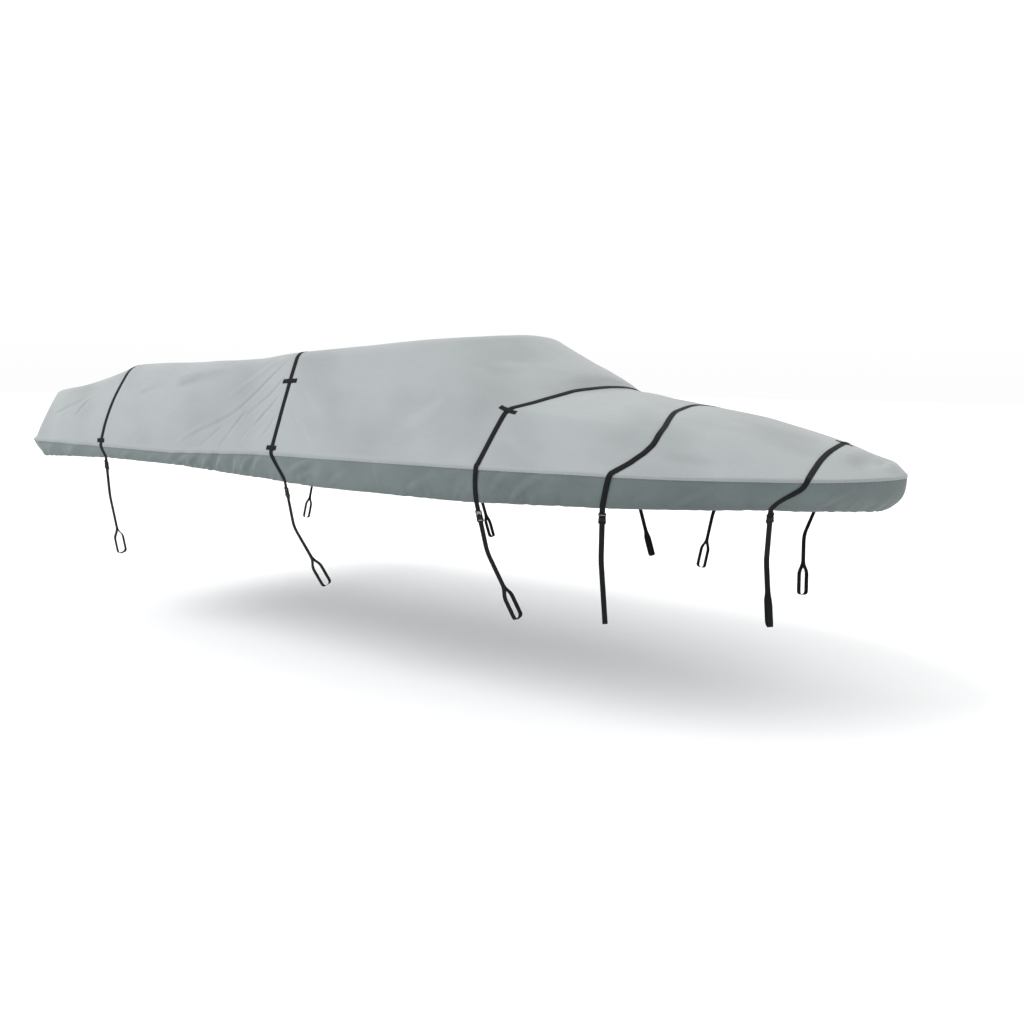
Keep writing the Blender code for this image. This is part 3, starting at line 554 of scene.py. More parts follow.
def strap_x(number, up):
    """The place along the cover of a strap at a share up."""
    rows = [(row[1], row[2]) for row in STRAP_LINES if row[0] == number]
    steps = (-1.0, -0.5, 0.0, 0.5, 1.0)
    return sum(lookup(rows, up + step * STRAP_SOFT, 1) for step in steps) / len(steps)


def share_up(share):
    """The share up of a row on either side, 0 at its rim and 2 in the middle."""
    return share if share <= 2.0 else 4.0 - share


def groove(points, line, depth, swell_height, swell_reach):
    """A groove below a strap, with the cloth swelling beside it."""
    off = distance_to_line(points, line)[0]
    beside = swell_height * np.exp(-(off / swell_reach) ** 2)
    return beside - depth * np.exp(-(off / STRAP_GROOVE) ** 2)


def grooves_of_straps(grid):
    """What all the straps press into the top cloth where they cross it."""
    total = np.zeros(grid.points.shape[:-1])
    for number in STRAPS:
        shares = np.linspace(0.0, 4.0, 90)
        line = [grid.at(grid.points, strap_x(number, share_up(share)), share) for share in shares]
        total += groove(grid.points, line, *TOP_GROOVE)
    return total


def crease_top(grid):
    """Move the grid's points by their relief, and keep the relief for the material."""
    points = grid.points
    edge = np.minimum(1.0, np.minimum(grid.shares, 4.0 - grid.shares) / RIM_FADE)[None, :]
    relief = sum(swell(points, *row) for row in TOP_SWELLS) + grooves_of_straps(grid)
    starboard = points[..., 1] < MIDDLE_Y
    for side, half_width, height, places in CREASES:
        line = line_on(grid, [(x, up if side < 0 else 4.0 - up) for x, up in places])
        relief = relief + np.where(starboard == (side < 0), ridge(points, line, half_width, height), 0.0)
    for half_width, height, places in TOP_FOLDS:
        relief = relief + ridge(points, line_on(grid, places), half_width, height)
    tip = np.clip((BOW_X - points[..., 0]) / TIP_FADE, 0.0, 1.0)
    foot = np.clip(np.arange(len(points)) / FOOT_FADE, 0.0, 1.0)[:, None]
    relief = relief * edge * tip * foot
    grid.points = points + grid.normals * relief[..., None]
    grid.normals = grid_normals(grid.points)
    grid.relief = relief


crease_top(top)
print("creased top cloth", np.ptp(top.points.reshape(-1, 3), axis=0).round(3))

# %% [markdown]
# The side band is sewn on below the rim and drawn in at its hem. It runs once round the cover, so its
# grid is a closed ring: places round the rim by shares down, 0 at the seam and 1 at the hem. A drawn hem
# gathers, so it ripples, and diagonal folds run up from it to the seam where the cloth is loose. The
# folds are listed one by one like the creases above, and the ripple is a sum of waves of unequal pitch.

# %% Sizes and folds of the side band
BAND_SHARES = tuple(np.linspace(0.0, 0.90, 13)) + (0.93, 0.96, 0.98, 1.0)
TURN_STEPS = ((0.0015, 0.0022), (0.006, 0.0036), (0.012, 0.0034), (HEM_TURN, 0.0014))  # inward, down
BAND_CLEAR = 0.0016       # the band starts this far inside the rim, below the lap
HEM_BULGE = 0.0028        # the turned hem is this much fuller than the band
HEM_START = 0.86          # and starts at this share down
HEM_SPAN = 0.16
FOOT_DEPTH = 0.04         # the stern's foot is as wide as the rim within this length
GATHER_LEAN = 0.10        # a gather's lower end lies this far aft of its upper end
PORT_SHIFT = 0.05         # and those to port are shifted by this much
RIPPLE_PITCHES = (0.052, 0.071, 0.093, 0.128)
RIPPLE_HEIGHT = 0.0011
RIPPLE_SEED = 5
RIPPLE_START = 0.45       # the ripple begins at this share down
BAND_SWELL = (3, 0.20, 0.0010)    # seed, pitch, height
SEAM_FADE = 0.10          # relief dies away within this share of the seam

GATHERS = (
    # x_middle, half_length, pitch, height
    (-0.82, 0.48, 0.150, 0.0060),
    (-0.08, 0.22, 0.170, 0.0050),
    (0.90, 0.30, 0.240, 0.0050),
    (-2.20, 0.35, 0.280, 0.0035),
)

BAND_FOLDS = (
    # side, half_width, height, places (x, share) from the strong end to the faint end
    (-1, 0.011, 0.0080, ((-1.22, 0.95), (-1.12, 0.55), (-0.98, 0.08))),
    (-1, 0.009, 0.0075, ((-1.10, 0.90), (-1.04, 0.50), (-0.96, 0.10))),
    (-1, 0.010, 0.0085, ((-0.96, 0.92), (-0.90, 0.50), (-0.83, 0.10))),
    (-1, 0.009, 0.0075, ((-0.84, 0.85), (-0.79, 0.45), (-0.74, 0.10))),
    (-1, 0.011, 0.0100, ((-0.63, 0.80), (-0.57, 0.40), (-0.50, 0.08))),
    (-1, 0.010, 0.0085, ((-0.53, 0.70), (-0.48, 0.35), (-0.41, 0.03))),
    (-1, 0.009, 0.0070, ((-0.70, 0.95), (-0.67, 0.60), (-0.64, 0.25))),
    (-1, 0.012, 0.0095, ((-0.26, 0.62), (-0.15, 0.32), (-0.02, 0.03))),
    (-1, 0.010, 0.0065, ((-0.22, 0.95), (-0.16, 0.70), (-0.06, 0.45))),
    (-1, 0.012, 0.0060, ((0.02, 0.90), (0.10, 0.60), (0.20, 0.30))),
    (-1, 0.011, 0.0060, ((0.36, 0.70), (0.36, 0.40), (0.38, 0.12))),
    (-1, 0.016, 0.0065, ((0.52, 0.95), (0.60, 0.60), (0.74, 0.25))),
    (-1, 0.012, 0.0085, ((1.02, 0.62), (1.07, 0.32), (1.13, 0.02))),
    (-1, 0.013, 0.0095, ((1.11, 0.92), (1.18, 0.50), (1.31, 0.03))),
    (-1, 0.012, 0.0060, ((0.80, 0.95), (0.84, 0.60), (0.88, 0.25))),
    (-1, 0.014, 0.0052, ((1.63, 0.75), (1.64, 0.45), (1.63, 0.15))),
    (-1, 0.014, 0.0052, ((1.84, 0.90), (1.92, 0.55), (2.02, 0.20))),
    (-1, 0.013, 0.0055, ((2.36, 0.85), (2.42, 0.50), (2.47, 0.20))),
    (-1, 0.012, 0.0055, ((-1.72, 0.90), (-1.64, 0.50), (-1.56, 0.15))),
    (-1, 0.012, 0.0050, ((-1.46, 0.90), (-1.40, 0.55), (-1.32, 0.20))),
    (-1, 0.014, 0.0055, ((-2.30, 0.90), (-2.22, 0.50), (-2.12, 0.15))),
    (-1, 0.012, 0.0050, ((-2.52, 0.85), (-2.48, 0.50), (-2.42, 0.20))),
    (1, 0.012, 0.0080, ((-1.14, 0.92), (-1.06, 0.50), (-0.95, 0.08))),
    (1, 0.011, 0.0075, ((-0.92, 0.90), (-0.86, 0.50), (-0.80, 0.10))),
    (1, 0.012, 0.0090, ((-0.66, 0.82), (-0.58, 0.40), (-0.50, 0.06))),
    (1, 0.012, 0.0075, ((-0.30, 0.80), (-0.20, 0.40), (-0.08, 0.05))),
    (1, 0.013, 0.0065, ((0.44, 0.85), (0.50, 0.50), (0.60, 0.15))),
    (1, 0.013, 0.0075, ((1.08, 0.88), (1.16, 0.50), (1.26, 0.08))),
    (1, 0.013, 0.0055, ((1.76, 0.85), (1.84, 0.50), (1.90, 0.20))),
    (1, 0.013, 0.0055, ((2.34, 0.80), (2.41, 0.45), (2.46, 0.20))),
    (1, 0.014, 0.0055, ((-2.24, 0.88), (-2.16, 0.50), (-2.06, 0.18))),
)
print("folds of the band", len(BAND_FOLDS))

# %% [markdown]
# Two kinds of fullness repeat along a drawn hem: broad gathers where the cloth is loose, and a fine ripple
# that is deepest at the hem itself. Both are sums of waves by distance, because even the listed folds
# look stiff without something uneven between them.

# %% Gathers and ripples
def rim_of(grid):
    """The edge of the top cloth as a closed loop: bow, starboard, stern, port."""
    points = grid.points
    return np.concatenate((points[::-1, 0], points[0, 1:-1], points[:-1, -1]))


def blurred(values, width):
    """Values of a ring, evened out over a few neighbours."""
    kernel = np.ones(2 * width + 1) / (2 * width + 1)
    padded = np.concatenate((values[-width:], values, values[:width]))
    return np.apply_along_axis(lambda row: np.convolve(row, kernel, "valid"), 0, padded)


def ring_lengths(points):
    """How far each point of a ring lies from its first, and the whole length round."""
    steps = np.linalg.norm(np.roll(points, -1, axis=0) - points, axis=1)
    return np.concatenate(((0.0,), np.cumsum(steps)[:-1])), float(steps.sum())


def gather(x, y, share):
    """Outward swell of the band's gathers, which lean forward as they rise."""
    total = 0.0
    for middle, half_length, pitch, height in GATHERS:
        window = max(0.0, 1.0 - abs(x - middle) / half_length)
        phase = (x + GATHER_LEAN * share + (PORT_SHIFT if y > 0.0 else 0.0)) / pitch
        total += height * window ** 0.5 * math.sin(2.0 * math.pi * phase)
    return total * math.sin(math.pi * min(share * 1.1, 1.0))


def ripple(run, share):
    """Uneven small gathers of the drawn hem, by distance round the cover."""
    random = np.random.default_rng(RIPPLE_SEED)
    total = np.zeros_like(run)
    for pitch in RIPPLE_PITCHES:
        waver = 0.7 * np.sin(run / 0.31 + random.uniform(*PHASES))
        total += np.sin(2.0 * math.pi * run / pitch + waver + random.uniform(*PHASES))
    patch = 0.55 + 0.45 * np.sin(run / 0.45 + 1.3) * np.sin(run / 0.17)
    rise = np.clip((share - RIPPLE_START) / 0.5, 0.0, 1.0) ** 1.6
    return RIPPLE_HEIGHT * total * patch * rise


print("round the rim", round(ring_lengths(rim_of(top))[1], 3), "m")

# %% [markdown]
# The ring is a grid like the top cloth's, but its last place is next to its first. At each place of the rim
# the band goes down and in by its table. Round the stern's two corners the steps inwards are taken along
# both sides at once, as in a mitre, so that the hem stays parallel to the rim.

# %% The ring of the side band
class Ring(Grid):
    """The band's grid, which closes on itself."""

    def __init__(self, rim):
        self.rim = rim
        self.run, self.length = ring_lengths(rim)
        tangent = np.roll(rim, -2, axis=0) - np.roll(rim, 2, axis=0)
        out = unit(np.stack((tangent[:, 1], -tangent[:, 0], np.zeros(len(rim))), axis=1))
        out = turned_to(out, rim * np.array((0.3, 1.0, 0.0)))
        self.inset = self.mitred(unit(blurred(out, 2)))
        self.out = unit(self.inset)
        self.shares = np.array(BAND_SHARES)
        points = np.zeros((len(rim), len(BAND_SHARES), 3))
        for k, place in enumerate(rim):
            depth = soft_lookup(BAND, place[0], 1)
            drawn = soft_lookup(BAND, place[0], 2)
            curl = soft_lookup(BAND, place[0], 3)
            for number, share in enumerate(BAND_SHARES):
                inward = BAND_CLEAR + drawn * share ** curl - gather(place[0], place[1], share)
                through_hem = np.clip((share - HEM_START) / HEM_SPAN, 0.0, 1.0)
                bulge = HEM_BULGE * math.sin(math.pi * through_hem)
                points[k, number] = place - self.inset[k] * (inward - bulge)
                points[k, number, 2] -= depth * share
        self.points = points
        self.normals = self.outward()

    def mitred(self, out):
        """Outward steps that keep the hem parallel to the rim round the two corners of the stern."""
        x, y = self.rim[:, 0], self.rim[:, 1]
        foot_x = x.min()
        side_y = np.abs(y[x < foot_x + FOOT_DEPTH]).max()
        straight = CORNER_REACH - AFT_CORNER
        aft = np.clip((foot_x + CORNER_REACH - x) / straight, 0.0, 1.0)
        side = np.clip((np.abs(y) - side_y + CORNER_REACH) / straight, 0.0, 1.0)
        turned = np.stack((-aft, np.sign(y) * side, np.zeros(len(aft))), axis=1)
        return np.where(x[:, None] < foot_x + CORNER_REACH, turned, out)

    def outward(self):
        """Normals of the ring, turned away from the cover."""
        along = np.roll(self.points, -1, axis=0) - np.roll(self.points, 1, axis=0)
        across = np.gradient(self.points, axis=1)
        return turned_to(unit(np.cross(along, across)), self.out[:, None, :])

    def place(self, side, x):
        """The place in the ring on one side of the cover at x."""
        count = len(top.places)
        order = np.arange(count)
        if side < 0:
            return float(np.interp(x, top.points[:, 0, 0], count - 1.0 - order))
        return float(np.interp(x, top.points[:, -1, 0], len(self.rim) - count + 1.0 + order))

    def look(self, field, side, x, share):
        """A field of the ring on one side of the cover, at x and a share down."""
        return blend(field, self.place(side, x), self.rank(share))


def fold_band(ring):
    """Move the ring's points by their relief, and keep the relief for the material."""
    points = ring.points
    run = np.repeat(ring.run[:, None], points.shape[1], axis=1)
    share = np.repeat(ring.shares[None, :], points.shape[0], axis=0)
    relief = ripple(run, share) + swell(points, *BAND_SWELL)
    for side, half_width, height, places in BAND_FOLDS:
        line = np.array([ring.look(points, side, x, down) for x, down in smooth_line(places)])
        relief = relief + ridge(points, line, half_width, height)
    for number in STRAPS:
        for side in SIDES:
            downs = np.linspace(0.0, 1.0, 12)
            line = [ring.look(points, side, strap_x(number, -down), down) for down in downs]
            relief += groove(points, line, *BAND_GROOVE)
    relief = relief * np.clip(share / SEAM_FADE, 0.0, 1.0)
    ring.points = points + ring.normals * relief[..., None]
    ring.normals = ring.outward()
    ring.relief = relief


band = Ring(rim_of(top))
fold_band(band)
print("band ring", band.points.shape, "round", round(band.length, 3), "m")

# %% [markdown]
# Both cloths are single sheets. The top cloth ends in a lap that comes down over the band by a finger's
# width, where it is sewn, and turns its edge under. The band has a real thickness, because its hem is seen
# from below. Each point carries its distance to the sewn edge and to the hem, so that the material can
# place its stitches, and how far it stands proud, so that the material can paint shade into the troughs and a
# highlight onto the folds.

# %% The lap of the top cloth
LAP_SHARES = (0.35, 0.7, 1.0)
LAP_ROLL = ((0.0006, 0.0006), (-0.0020, 0.0013))    # down and inward from its edge, where it turns under
LAP_EDGES = (1.0, 0.65, 0.3, 0.0, 0.0, 0.1)    # distances of all its rows from its edge, in lap lengths


def lap_rows(rim, ring):
    """Rows of the top cloth's lap: the rim itself, then down over the band, and back under the edge."""
    down = unit(ring.points[:, 2] - ring.points[:, 0])
    out = unit(blurred(ring.normals[:, 1], 2))
    rows = [rim]
    for share in LAP_SHARES:
        proud = LAP_OUT * min(1.0, 1.6 * share) - BAND_CLEAR
        rows.append(rim + down * (LAP_LENGTH * share) + out * proud)
    edge = rows[-1]
    for lower, inward in LAP_ROLL:
        rows.append(edge + down * lower - out * inward)
    return rows


print("rows of the lap", len(lap_rows(band.rim, band)))

# %% [markdown]
# A grid becomes a mesh with one quad between each four points. The points are numbers that are worked out
# above, so no operator could place them, but operators merge what meets and turn the faces the right way.

# %% From a grid to a mesh
def add_grid(builder, layers, points, uv, edge, hem, relief, closed=False):
    """Quads over a grid of points, with their texture places and distances."""
    uv_layer, edge_layer, hem_layer, fold_layer = layers
    rows, columns = points.shape[:2]
    verts = []
    for i in range(rows):
        line = []
        for j in range(columns):
            vert = builder.verts.new(points[i, j])
            vert[edge_layer] = float(edge[i, j])
            vert[hem_layer] = float(hem[i, j])
            vert[fold_layer] = float(relief[i, j])
            line.append(vert)
        verts.append(line)
    for i in range(rows if closed else rows - 1):
        after = (i + 1) % rows
        for j in range(columns - 1):
            corners = ((i, j), (after, j), (after, j + 1), (i, j + 1))
            face = builder.faces.new([verts[a][b] for a, b in corners])
            face.smooth = True
            for loop, (a, b) in zip(face.loops, corners):
                loop[uv_layer].uv = uv[a, b]


def new_builder():
    """A mesh in the making, with its texture places and three numbers for each point."""
    builder = bmesh.new()
    layers = (
        builder.loops.layers.uv.new("UVMap"),
        builder.verts.layers.float.new("edge"),
        builder.verts.layers.float.new("hem"),
        builder.verts.layers.float.new("fold"),
    )
    return builder, layers


def to_object(name, builder, finish, thick=0.0):
    """An object from a finished builder, with its material and, for a single sheet, its thickness."""
    mesh = bpy.data.meshes.new(name)
    builder.to_mesh(mesh)
    builder.free()
    made = bpy.data.objects.new(name, mesh)
    bpy.context.scene.collection.objects.link(made)
    mesh.materials.append(finish)
    if thick > 0.0:
        solid = made.modifiers.new("thickness", "SOLIDIFY")
        solid.thickness = thick
        solid.offset = -1.0
    return made


def face_out(builder):
    """Make all faces agree, and turn them over if most of them look inside."""
    bmesh.ops.recalc_face_normals(builder, faces=builder.faces)
    inside = Vector(INSIDE)
    votes = sum(f.calc_area() * f.normal.dot(f.calc_center_median() - inside) for f in builder.faces)
    if votes < 0.0:
        bmesh.ops.reverse_faces(builder, faces=builder.faces)


def arc_lengths(points, axis):
    """How far each point of a line, or of a grid's rows, lies from its start."""
    steps = np.linalg.norm(np.diff(points, axis=axis), axis=-1)
    total = np.cumsum(steps, axis=axis)
    zero = np.zeros_like(np.take(total, [0], axis=axis))
    return np.concatenate((zero, total), axis=axis)


print("longest way across the top cloth", round(float(arc_lengths(top.points, 1)[:, -1].max()), 3), "m")

# %% [markdown]
# Along with its points each cloth gets a map, which runs along and across the cloth in metres, so that the
# weave and the stitches have their real size. The top cloth and its lap are two grids that share the rim,
# and are merged there.

# %% The two cloths
NO_HEM = 1.0              # a distance to the hem at which no stitch shows
TOP_MERGE = 0.00015       # points nearer than this become one
BAND_MERGE = 0.0001
SLIVER = 0.00005          # and edges shorter than this are closed up


def top_cloth(grid, ring, finish):
    """The light cloth and its lap, which share the points of the rim."""
    across = arc_lengths(grid.points, 1)
    from_port = across[:, -1:] - across
    from_foot = arc_lengths(grid.points, 0)
    edge = np.minimum(np.minimum(across, from_port), from_foot) + LAP_LENGTH
    along = np.repeat(grid.places[:, None], grid.points.shape[1], axis=1)
    uv = np.stack((along, np.minimum(across, from_port)), axis=-1)
    builder, layers = new_builder()
    add_grid(builder, layers, grid.points, uv, edge, np.full(edge.shape, NO_HEM), grid.relief)
    lap = np.stack(lap_rows(ring.rim, ring), axis=1)
    shape = lap.shape[:2]
    lap_edge = np.broadcast_to(LAP_LENGTH * np.array(LAP_EDGES), shape)
    run = np.broadcast_to(ring.run[:, None], shape)
    lap_uv = np.stack((run, -LAP_LENGTH + lap_edge), axis=-1)
    no_hem, no_relief = np.full(shape, NO_HEM), np.zeros(shape)
    add_grid(builder, layers, lap, lap_uv, lap_edge, no_hem, no_relief, closed=True)
    bmesh.ops.remove_doubles(builder, verts=builder.verts, dist=TOP_MERGE)
    bmesh.ops.dissolve_degenerate(builder, edges=builder.edges, dist=SLIVER)
    face_out(builder)
    return to_object("cover_top", builder, finish)


def band_cloth(ring, finish):
    """The dark cloth, from the seam down to the hem and the short turn inside it."""
    rows = [ring.points[:, k] for k in range(ring.points.shape[1])]
    hem_line = ring.points[:, -1]
    for inward, down in TURN_STEPS:
        rows.append(hem_line - ring.inset * inward - np.array((0.0, 0.0, down)))
    points = np.stack(rows, axis=1)
    down = arc_lengths(points, 1)
    hem = np.abs(down[:, len(BAND_SHARES) - 1][:, None] - down)
    uv = np.stack((np.repeat(ring.run[:, None], points.shape[1], axis=1), down), axis=-1)
    relief = np.concatenate((ring.relief, np.zeros((len(points), len(TURN_STEPS)))), axis=1)
    builder, layers = new_builder()
    add_grid(builder, layers, points, uv, down, hem, relief, closed=True)
    bmesh.ops.remove_doubles(builder, verts=builder.verts, dist=BAND_MERGE)
    face_out(builder)
    return to_object("cover_band", builder, finish, CLOTH_THICK)


# %% [markdown]
# Materials are graphs of shader nodes. A small class wraps a socket so that the graph can be written as
# sums and products, and one method adds any other node. Weave, stitches and wear are worked out in the
# graph and not painted, so they stay sharp at any distance and follow the cloth's own directions.

# %% A value that adds and multiplies
class Value:
    """One output of a node, which adds and multiplies like a number."""

    def __init__(self, graph, socket):
        self.graph = graph
        self.socket = socket

    def __add__(self, other):
        return self.graph.math("ADD", self, other)

    def __radd__(self, other):
        return self.graph.math("ADD", other, self)

    def __sub__(self, other):
        return self.graph.math("SUBTRACT", self, other)

    def __rsub__(self, other):
        return self.graph.math("SUBTRACT", other, self)

    def __mul__(self, other):
        return self.graph.math("MULTIPLY", self, other)

    def __rmul__(self, other):
        return self.graph.math("MULTIPLY", other, self)

    def __truediv__(self, other):
        return self.graph.math("DIVIDE", self, other)

    def __abs__(self):
        return self.graph.math("ABSOLUTE", self)


# %% [markdown]
# Every node comes from one method, which takes a node's type, its settings and what its sockets get. It gives
# back one output as a value, which goes on adding and multiplying, so that links needn't be drawn one by
# one. The materials and the sky are both made in such a tree.

# %% A tree of nodes
class Nodes:
    """A node tree, with one method that adds any node."""

    def __init__(self, tree):
        self.tree = tree

    def set(self, node, key, value):
        """Link a value to a socket, or set the socket's own number or colour."""
        if isinstance(value, Value):
            self.tree.links.new(value.socket, node.inputs[key])
        else:
            node.inputs[key].default_value = value

    def node(self, kind, settings=None, inputs=None, output=0):
        """Any node, from its type, its settings and what its sockets get."""
        made = self.tree.nodes.new(kind)
        for key, value in (settings or {}).items():
            setattr(made, key, value)
        for key, value in (inputs or {}).items():
            self.set(made, key, value)
        return Value(self, made.outputs[output])

    def math(self, operation, *values):
        """One Math node."""
        return self.node("ShaderNodeMath", {"operation": operation}, dict(enumerate(values)))


# %% [markdown]
# A graph starts from a Principled shader with its constants set. Its methods are the few nodes that cloth,
# webbing and plastic need: noise, soft steps between two values, waves, rows of stitches, mixes and bumps.

# %% A material's graph
class Graph(Nodes):
    """A material's node tree, with a Principled shader that has its constants set."""

    def __init__(self, name, colour, roughness, sheen=0.0, sheen_roughness=0.5, specular=0.3):
        self.material = bpy.data.materials.new(name)
        self.material.use_nodes = True
        super().__init__(self.material.node_tree)
        self.shader = self.tree.nodes["Principled BSDF"]
        self.material.diffuse_color = (*colour, 1.0)
        self.set(self.shader, "Base Color", (*colour, 1.0))
        self.set(self.shader, "Roughness", roughness)
        self.set(self.shader, "Sheen Weight", sheen)
        self.set(self.shader, "Sheen Roughness", sheen_roughness)
        self.set(self.shader, "Specular IOR Level", specular)

    def attribute(self, name):
        """A number that each point of the mesh carries."""
        return self.node("ShaderNodeAttribute", {"attribute_name": name}, output="Fac")

    def noise(self, vector, scale, detail=3.0, roughness=0.5, distortion=0.0):
        """A noise from 0 to 1, with its middle at 0.5."""
        inputs = {"Vector": vector, "Scale": scale, "Detail": detail, "Roughness": roughness,
                  "Distortion": distortion}
        return self.node("ShaderNodeTexNoise", None, inputs, output="Fac")

    def stretched(self, vector, x, y, z):
        """A place with its directions scaled unequally."""
        return self.node("ShaderNodeMapping", None, {"Vector": vector, "Scale": (x, y, z)})

    def object_place(self):
        """The place on the object, in metres."""
        return self.node("ShaderNodeTexCoord", None, None, output="Object")

    def map_place(self):
        """The place on the piece's own map: along the cloth or strap, then across it."""
        return self.node("ShaderNodeUVMap", {"uv_map": "UVMap"})

    def parts(self, vector):
        """The first two parts of a vector."""
        first = self.node("ShaderNodeSeparateXYZ", None, {"Vector": vector}, output="X")
        return first, Value(self, first.socket.node.outputs["Y"])

    def between(self, value, low, high):
        """0 below low and 1 above high, with a soft step between."""
        inputs = {"Value": value, "From Min": low, "From Max": high}
        return self.node("ShaderNodeMapRange", {"interpolation_type": "SMOOTHSTEP"}, inputs)

    def fading(self, value, low, high):
        """1 below low and 0 above high."""
        return 1.0 - self.between(value, low, high)

    def clamped(self, value, low, high):
        """A value held between two numbers."""
        return self.math("MINIMUM", self.math("MAXIMUM", value, low), high)

    def wave(self, run, pitch):
        """A sine wave with one crest in each pitch."""
        return self.math("SINE", run * (2.0 * math.pi / pitch))

    def dashes(self, run, pitch, starts, ends):
        """One stitch in each pitch, with its soft start and end as shares of the pitch."""
        dash = self.math("FRACT", run / pitch)
        return self.between(dash, *starts) * self.fading(dash, *ends)

    def thin_line(self, distance, place, half, soft):
        """A line of a half width where a distance reaches a place."""
        return self.fading(abs(distance - place), half, soft)

    def mix(self, share, first, second):
        """A colour between two colours."""
        inputs = {"Factor": share, "A": first, "B": second}
        return self.node("ShaderNodeMix", {"data_type": "RGBA"}, inputs, output="Result")

    def bump(self, height, distance, strength=1.0, normal=None):
        """A normal from a height, on top of another one if there is one."""
        inputs = {"Height": height, "Distance": distance, "Strength": strength}
        if normal is not None:
            inputs["Normal"] = normal
        return self.node("ShaderNodeBump", None, inputs)


def rgb(colour, factor=1.0):
    """A colour made lighter or darker, as a socket takes it."""
    return (*(min(1.0, c * factor) for c in colour), 1.0)


# %% [markdown]
# The cloth is a coated plain weave. Its colour drifts slowly, and it rumples finely. Shade is painted into
# the troughs of its folds and a highlight onto the folds, and a painted shade makes it lighter towards the
# stern and darker towards the bow, the band most. The band is also darker near its hem. Two rows of stitches
# follow the lap and one the hem. One function makes both cloths, because they differ in colour, thread,
# blotches and painted shade alone.

# %% Cloth material
TOP_COLOUR = (0.280, 0.299, 0.305)
BAND_COLOUR = (0.129, 0.156, 0.155)
THREAD_PITCH = 0.0050
STITCH_ROWS = (0.0030, 0.0090)    # distances from the lap's edge
HEM_STITCH = 0.024        # distance from the hem
WEAVE_PITCH = 0.0013
WEAVE_DEPTH = 0.00016
PUCKER_PITCH = 0.034      # the seam puckers once in this length
CONTRAST = 0.31           # the darkest and the lightest cloth differ from the colour by this share


def cloth_material(name, colour, stitch_light, shade_along_x, mottle):
    """A cloth of one colour, with the lightness of its thread, its painted shade along x and its blotches."""
    graph = Graph(name, colour, 0.86, sheen=0.22, sheen_roughness=0.38, specular=0.24)
    place, uv = graph.object_place(), graph.map_place()
    u, v = graph.parts(uv)
    x, y = graph.parts(place)
    slant = x + y * 0.8
    edge, hem, fold = graph.attribute("edge"), graph.attribute("hem"), graph.attribute("fold")

    drift = graph.noise(place, 1.7, 2.0, 0.5) - 0.5
    blotch = graph.noise(graph.stretched(place, 1.0, 1.0, 1.6), 7.5, 4.0, 0.6, 0.4) - 0.5
    grain = graph.noise(place, 95.0, 3.0, 0.65) - 0.5
    slub = graph.noise(graph.stretched(uv, 14.0, 420.0, 1.0), 1.0, 2.0, 0.6) - 0.5
    tone = drift * 0.10 + blotch * mottle + grain * 0.07 + slub * 0.05
    # Painted shade in the troughs of the creases and a painted highlight on their folds.
    crease_shade_and_highlight = graph.clamped(fold * 30.0, -0.17, 0.035)
    near_hem = graph.fading(hem, 0.004, 0.075) * (0.10 + blotch * 0.20)
    near_seam = graph.fading(edge, 0.004, 0.030) * 0.05
    # Painted shade along x: lighter towards the stern and darker towards the bow.
    painted_shade_along_x = (0.5 - graph.between(x, -0.6, 1.9)) * shade_along_x
    shade = 1.0 + tone + crease_shade_and_highlight + painted_shade_along_x - near_hem - near_seam

    rows = graph.thin_line(hem, HEM_STITCH, 0.0005, 0.0010)
    for row in STITCH_ROWS:
        rows = rows + graph.thin_line(edge, row, 0.0004, 0.0009)
    stitches = rows * graph.dashes(slant, THREAD_PITCH, (0.06, 0.20), (0.70, 0.84))

    share = graph.clamped(0.5 + (shade - 1.0) * 1.6, 0.0, 1.0)
    base = graph.mix(share, rgb(colour, 1.0 - CONTRAST), rgb(colour, 1.0 + CONTRAST))
    base = graph.mix(stitches * 0.6, base, rgb(colour, stitch_light))
    graph.set(graph.shader, "Base Color", base)
    graph.set(graph.shader, "Roughness", 0.84 + blotch * 0.12 - crease_shade_and_highlight * 0.5)

    weave = graph.wave(u, WEAVE_PITCH) * graph.wave(v, WEAVE_PITCH)
    rumple = graph.noise(graph.stretched(place, 1.0, 1.7, 1.4), 8.0, 5.0, 0.55, 0.6)
    crinkle = abs(graph.noise(graph.stretched(place, 1.3, 1.3, 1.0), 17.0, 3.0, 0.5, 1.1) - 0.5)
    pucker = graph.wave(slant + blotch * 0.05, PUCKER_PITCH) * graph.fading(edge, 0.010, 0.030)
    hem_pucker = graph.noise(graph.stretched(uv, 55.0, 9.0, 1.0), 1.0, 2.0, 0.5)
    hem_pucker = hem_pucker * graph.fading(hem, 0.006, 0.060)
    normal = graph.bump(rumple, 0.0050, 0.55)
    normal = graph.bump(graph.math("MINIMUM", crinkle, 0.10), 0.0060, 0.35, normal)
    normal = graph.bump(pucker * 0.5 + hem_pucker * 2.2, 0.0010, 0.8, normal)
    normal = graph.bump(weave + stitches * 1.6 - rows * 0.6, WEAVE_DEPTH, 0.5, normal)
    graph.set(graph.shader, "Normal", normal)
    return graph.material


# The band gets a stronger painted shade along x than the top cloth.
top_finish = cloth_material("light_cloth", TOP_COLOUR, stitch_light=0.86, shade_along_x=0.02, mottle=0.08)
band_finish = cloth_material("dark_cloth", BAND_COLOUR, stitch_light=0.80, shade_along_x=0.27, mottle=0.30)
cover_top = top_cloth(top, band, top_finish)
cover_band = band_cloth(band, band_finish)
print("cloth faces", len(cover_top.data.polygons), len(cover_band.data.polygons))

# %% [markdown]
# Webbing straps lie on the cloth. Each follows its line from hem to hem, is lifted just clear of the cloth
# below it, and bridges small hollows, as a strap under tension does. It goes on over the hem to its buckle.
# A search tree of the finished cloth says how high it stands below a strap, which a shrinkwrap modifier
# could do too, but without the bridges.

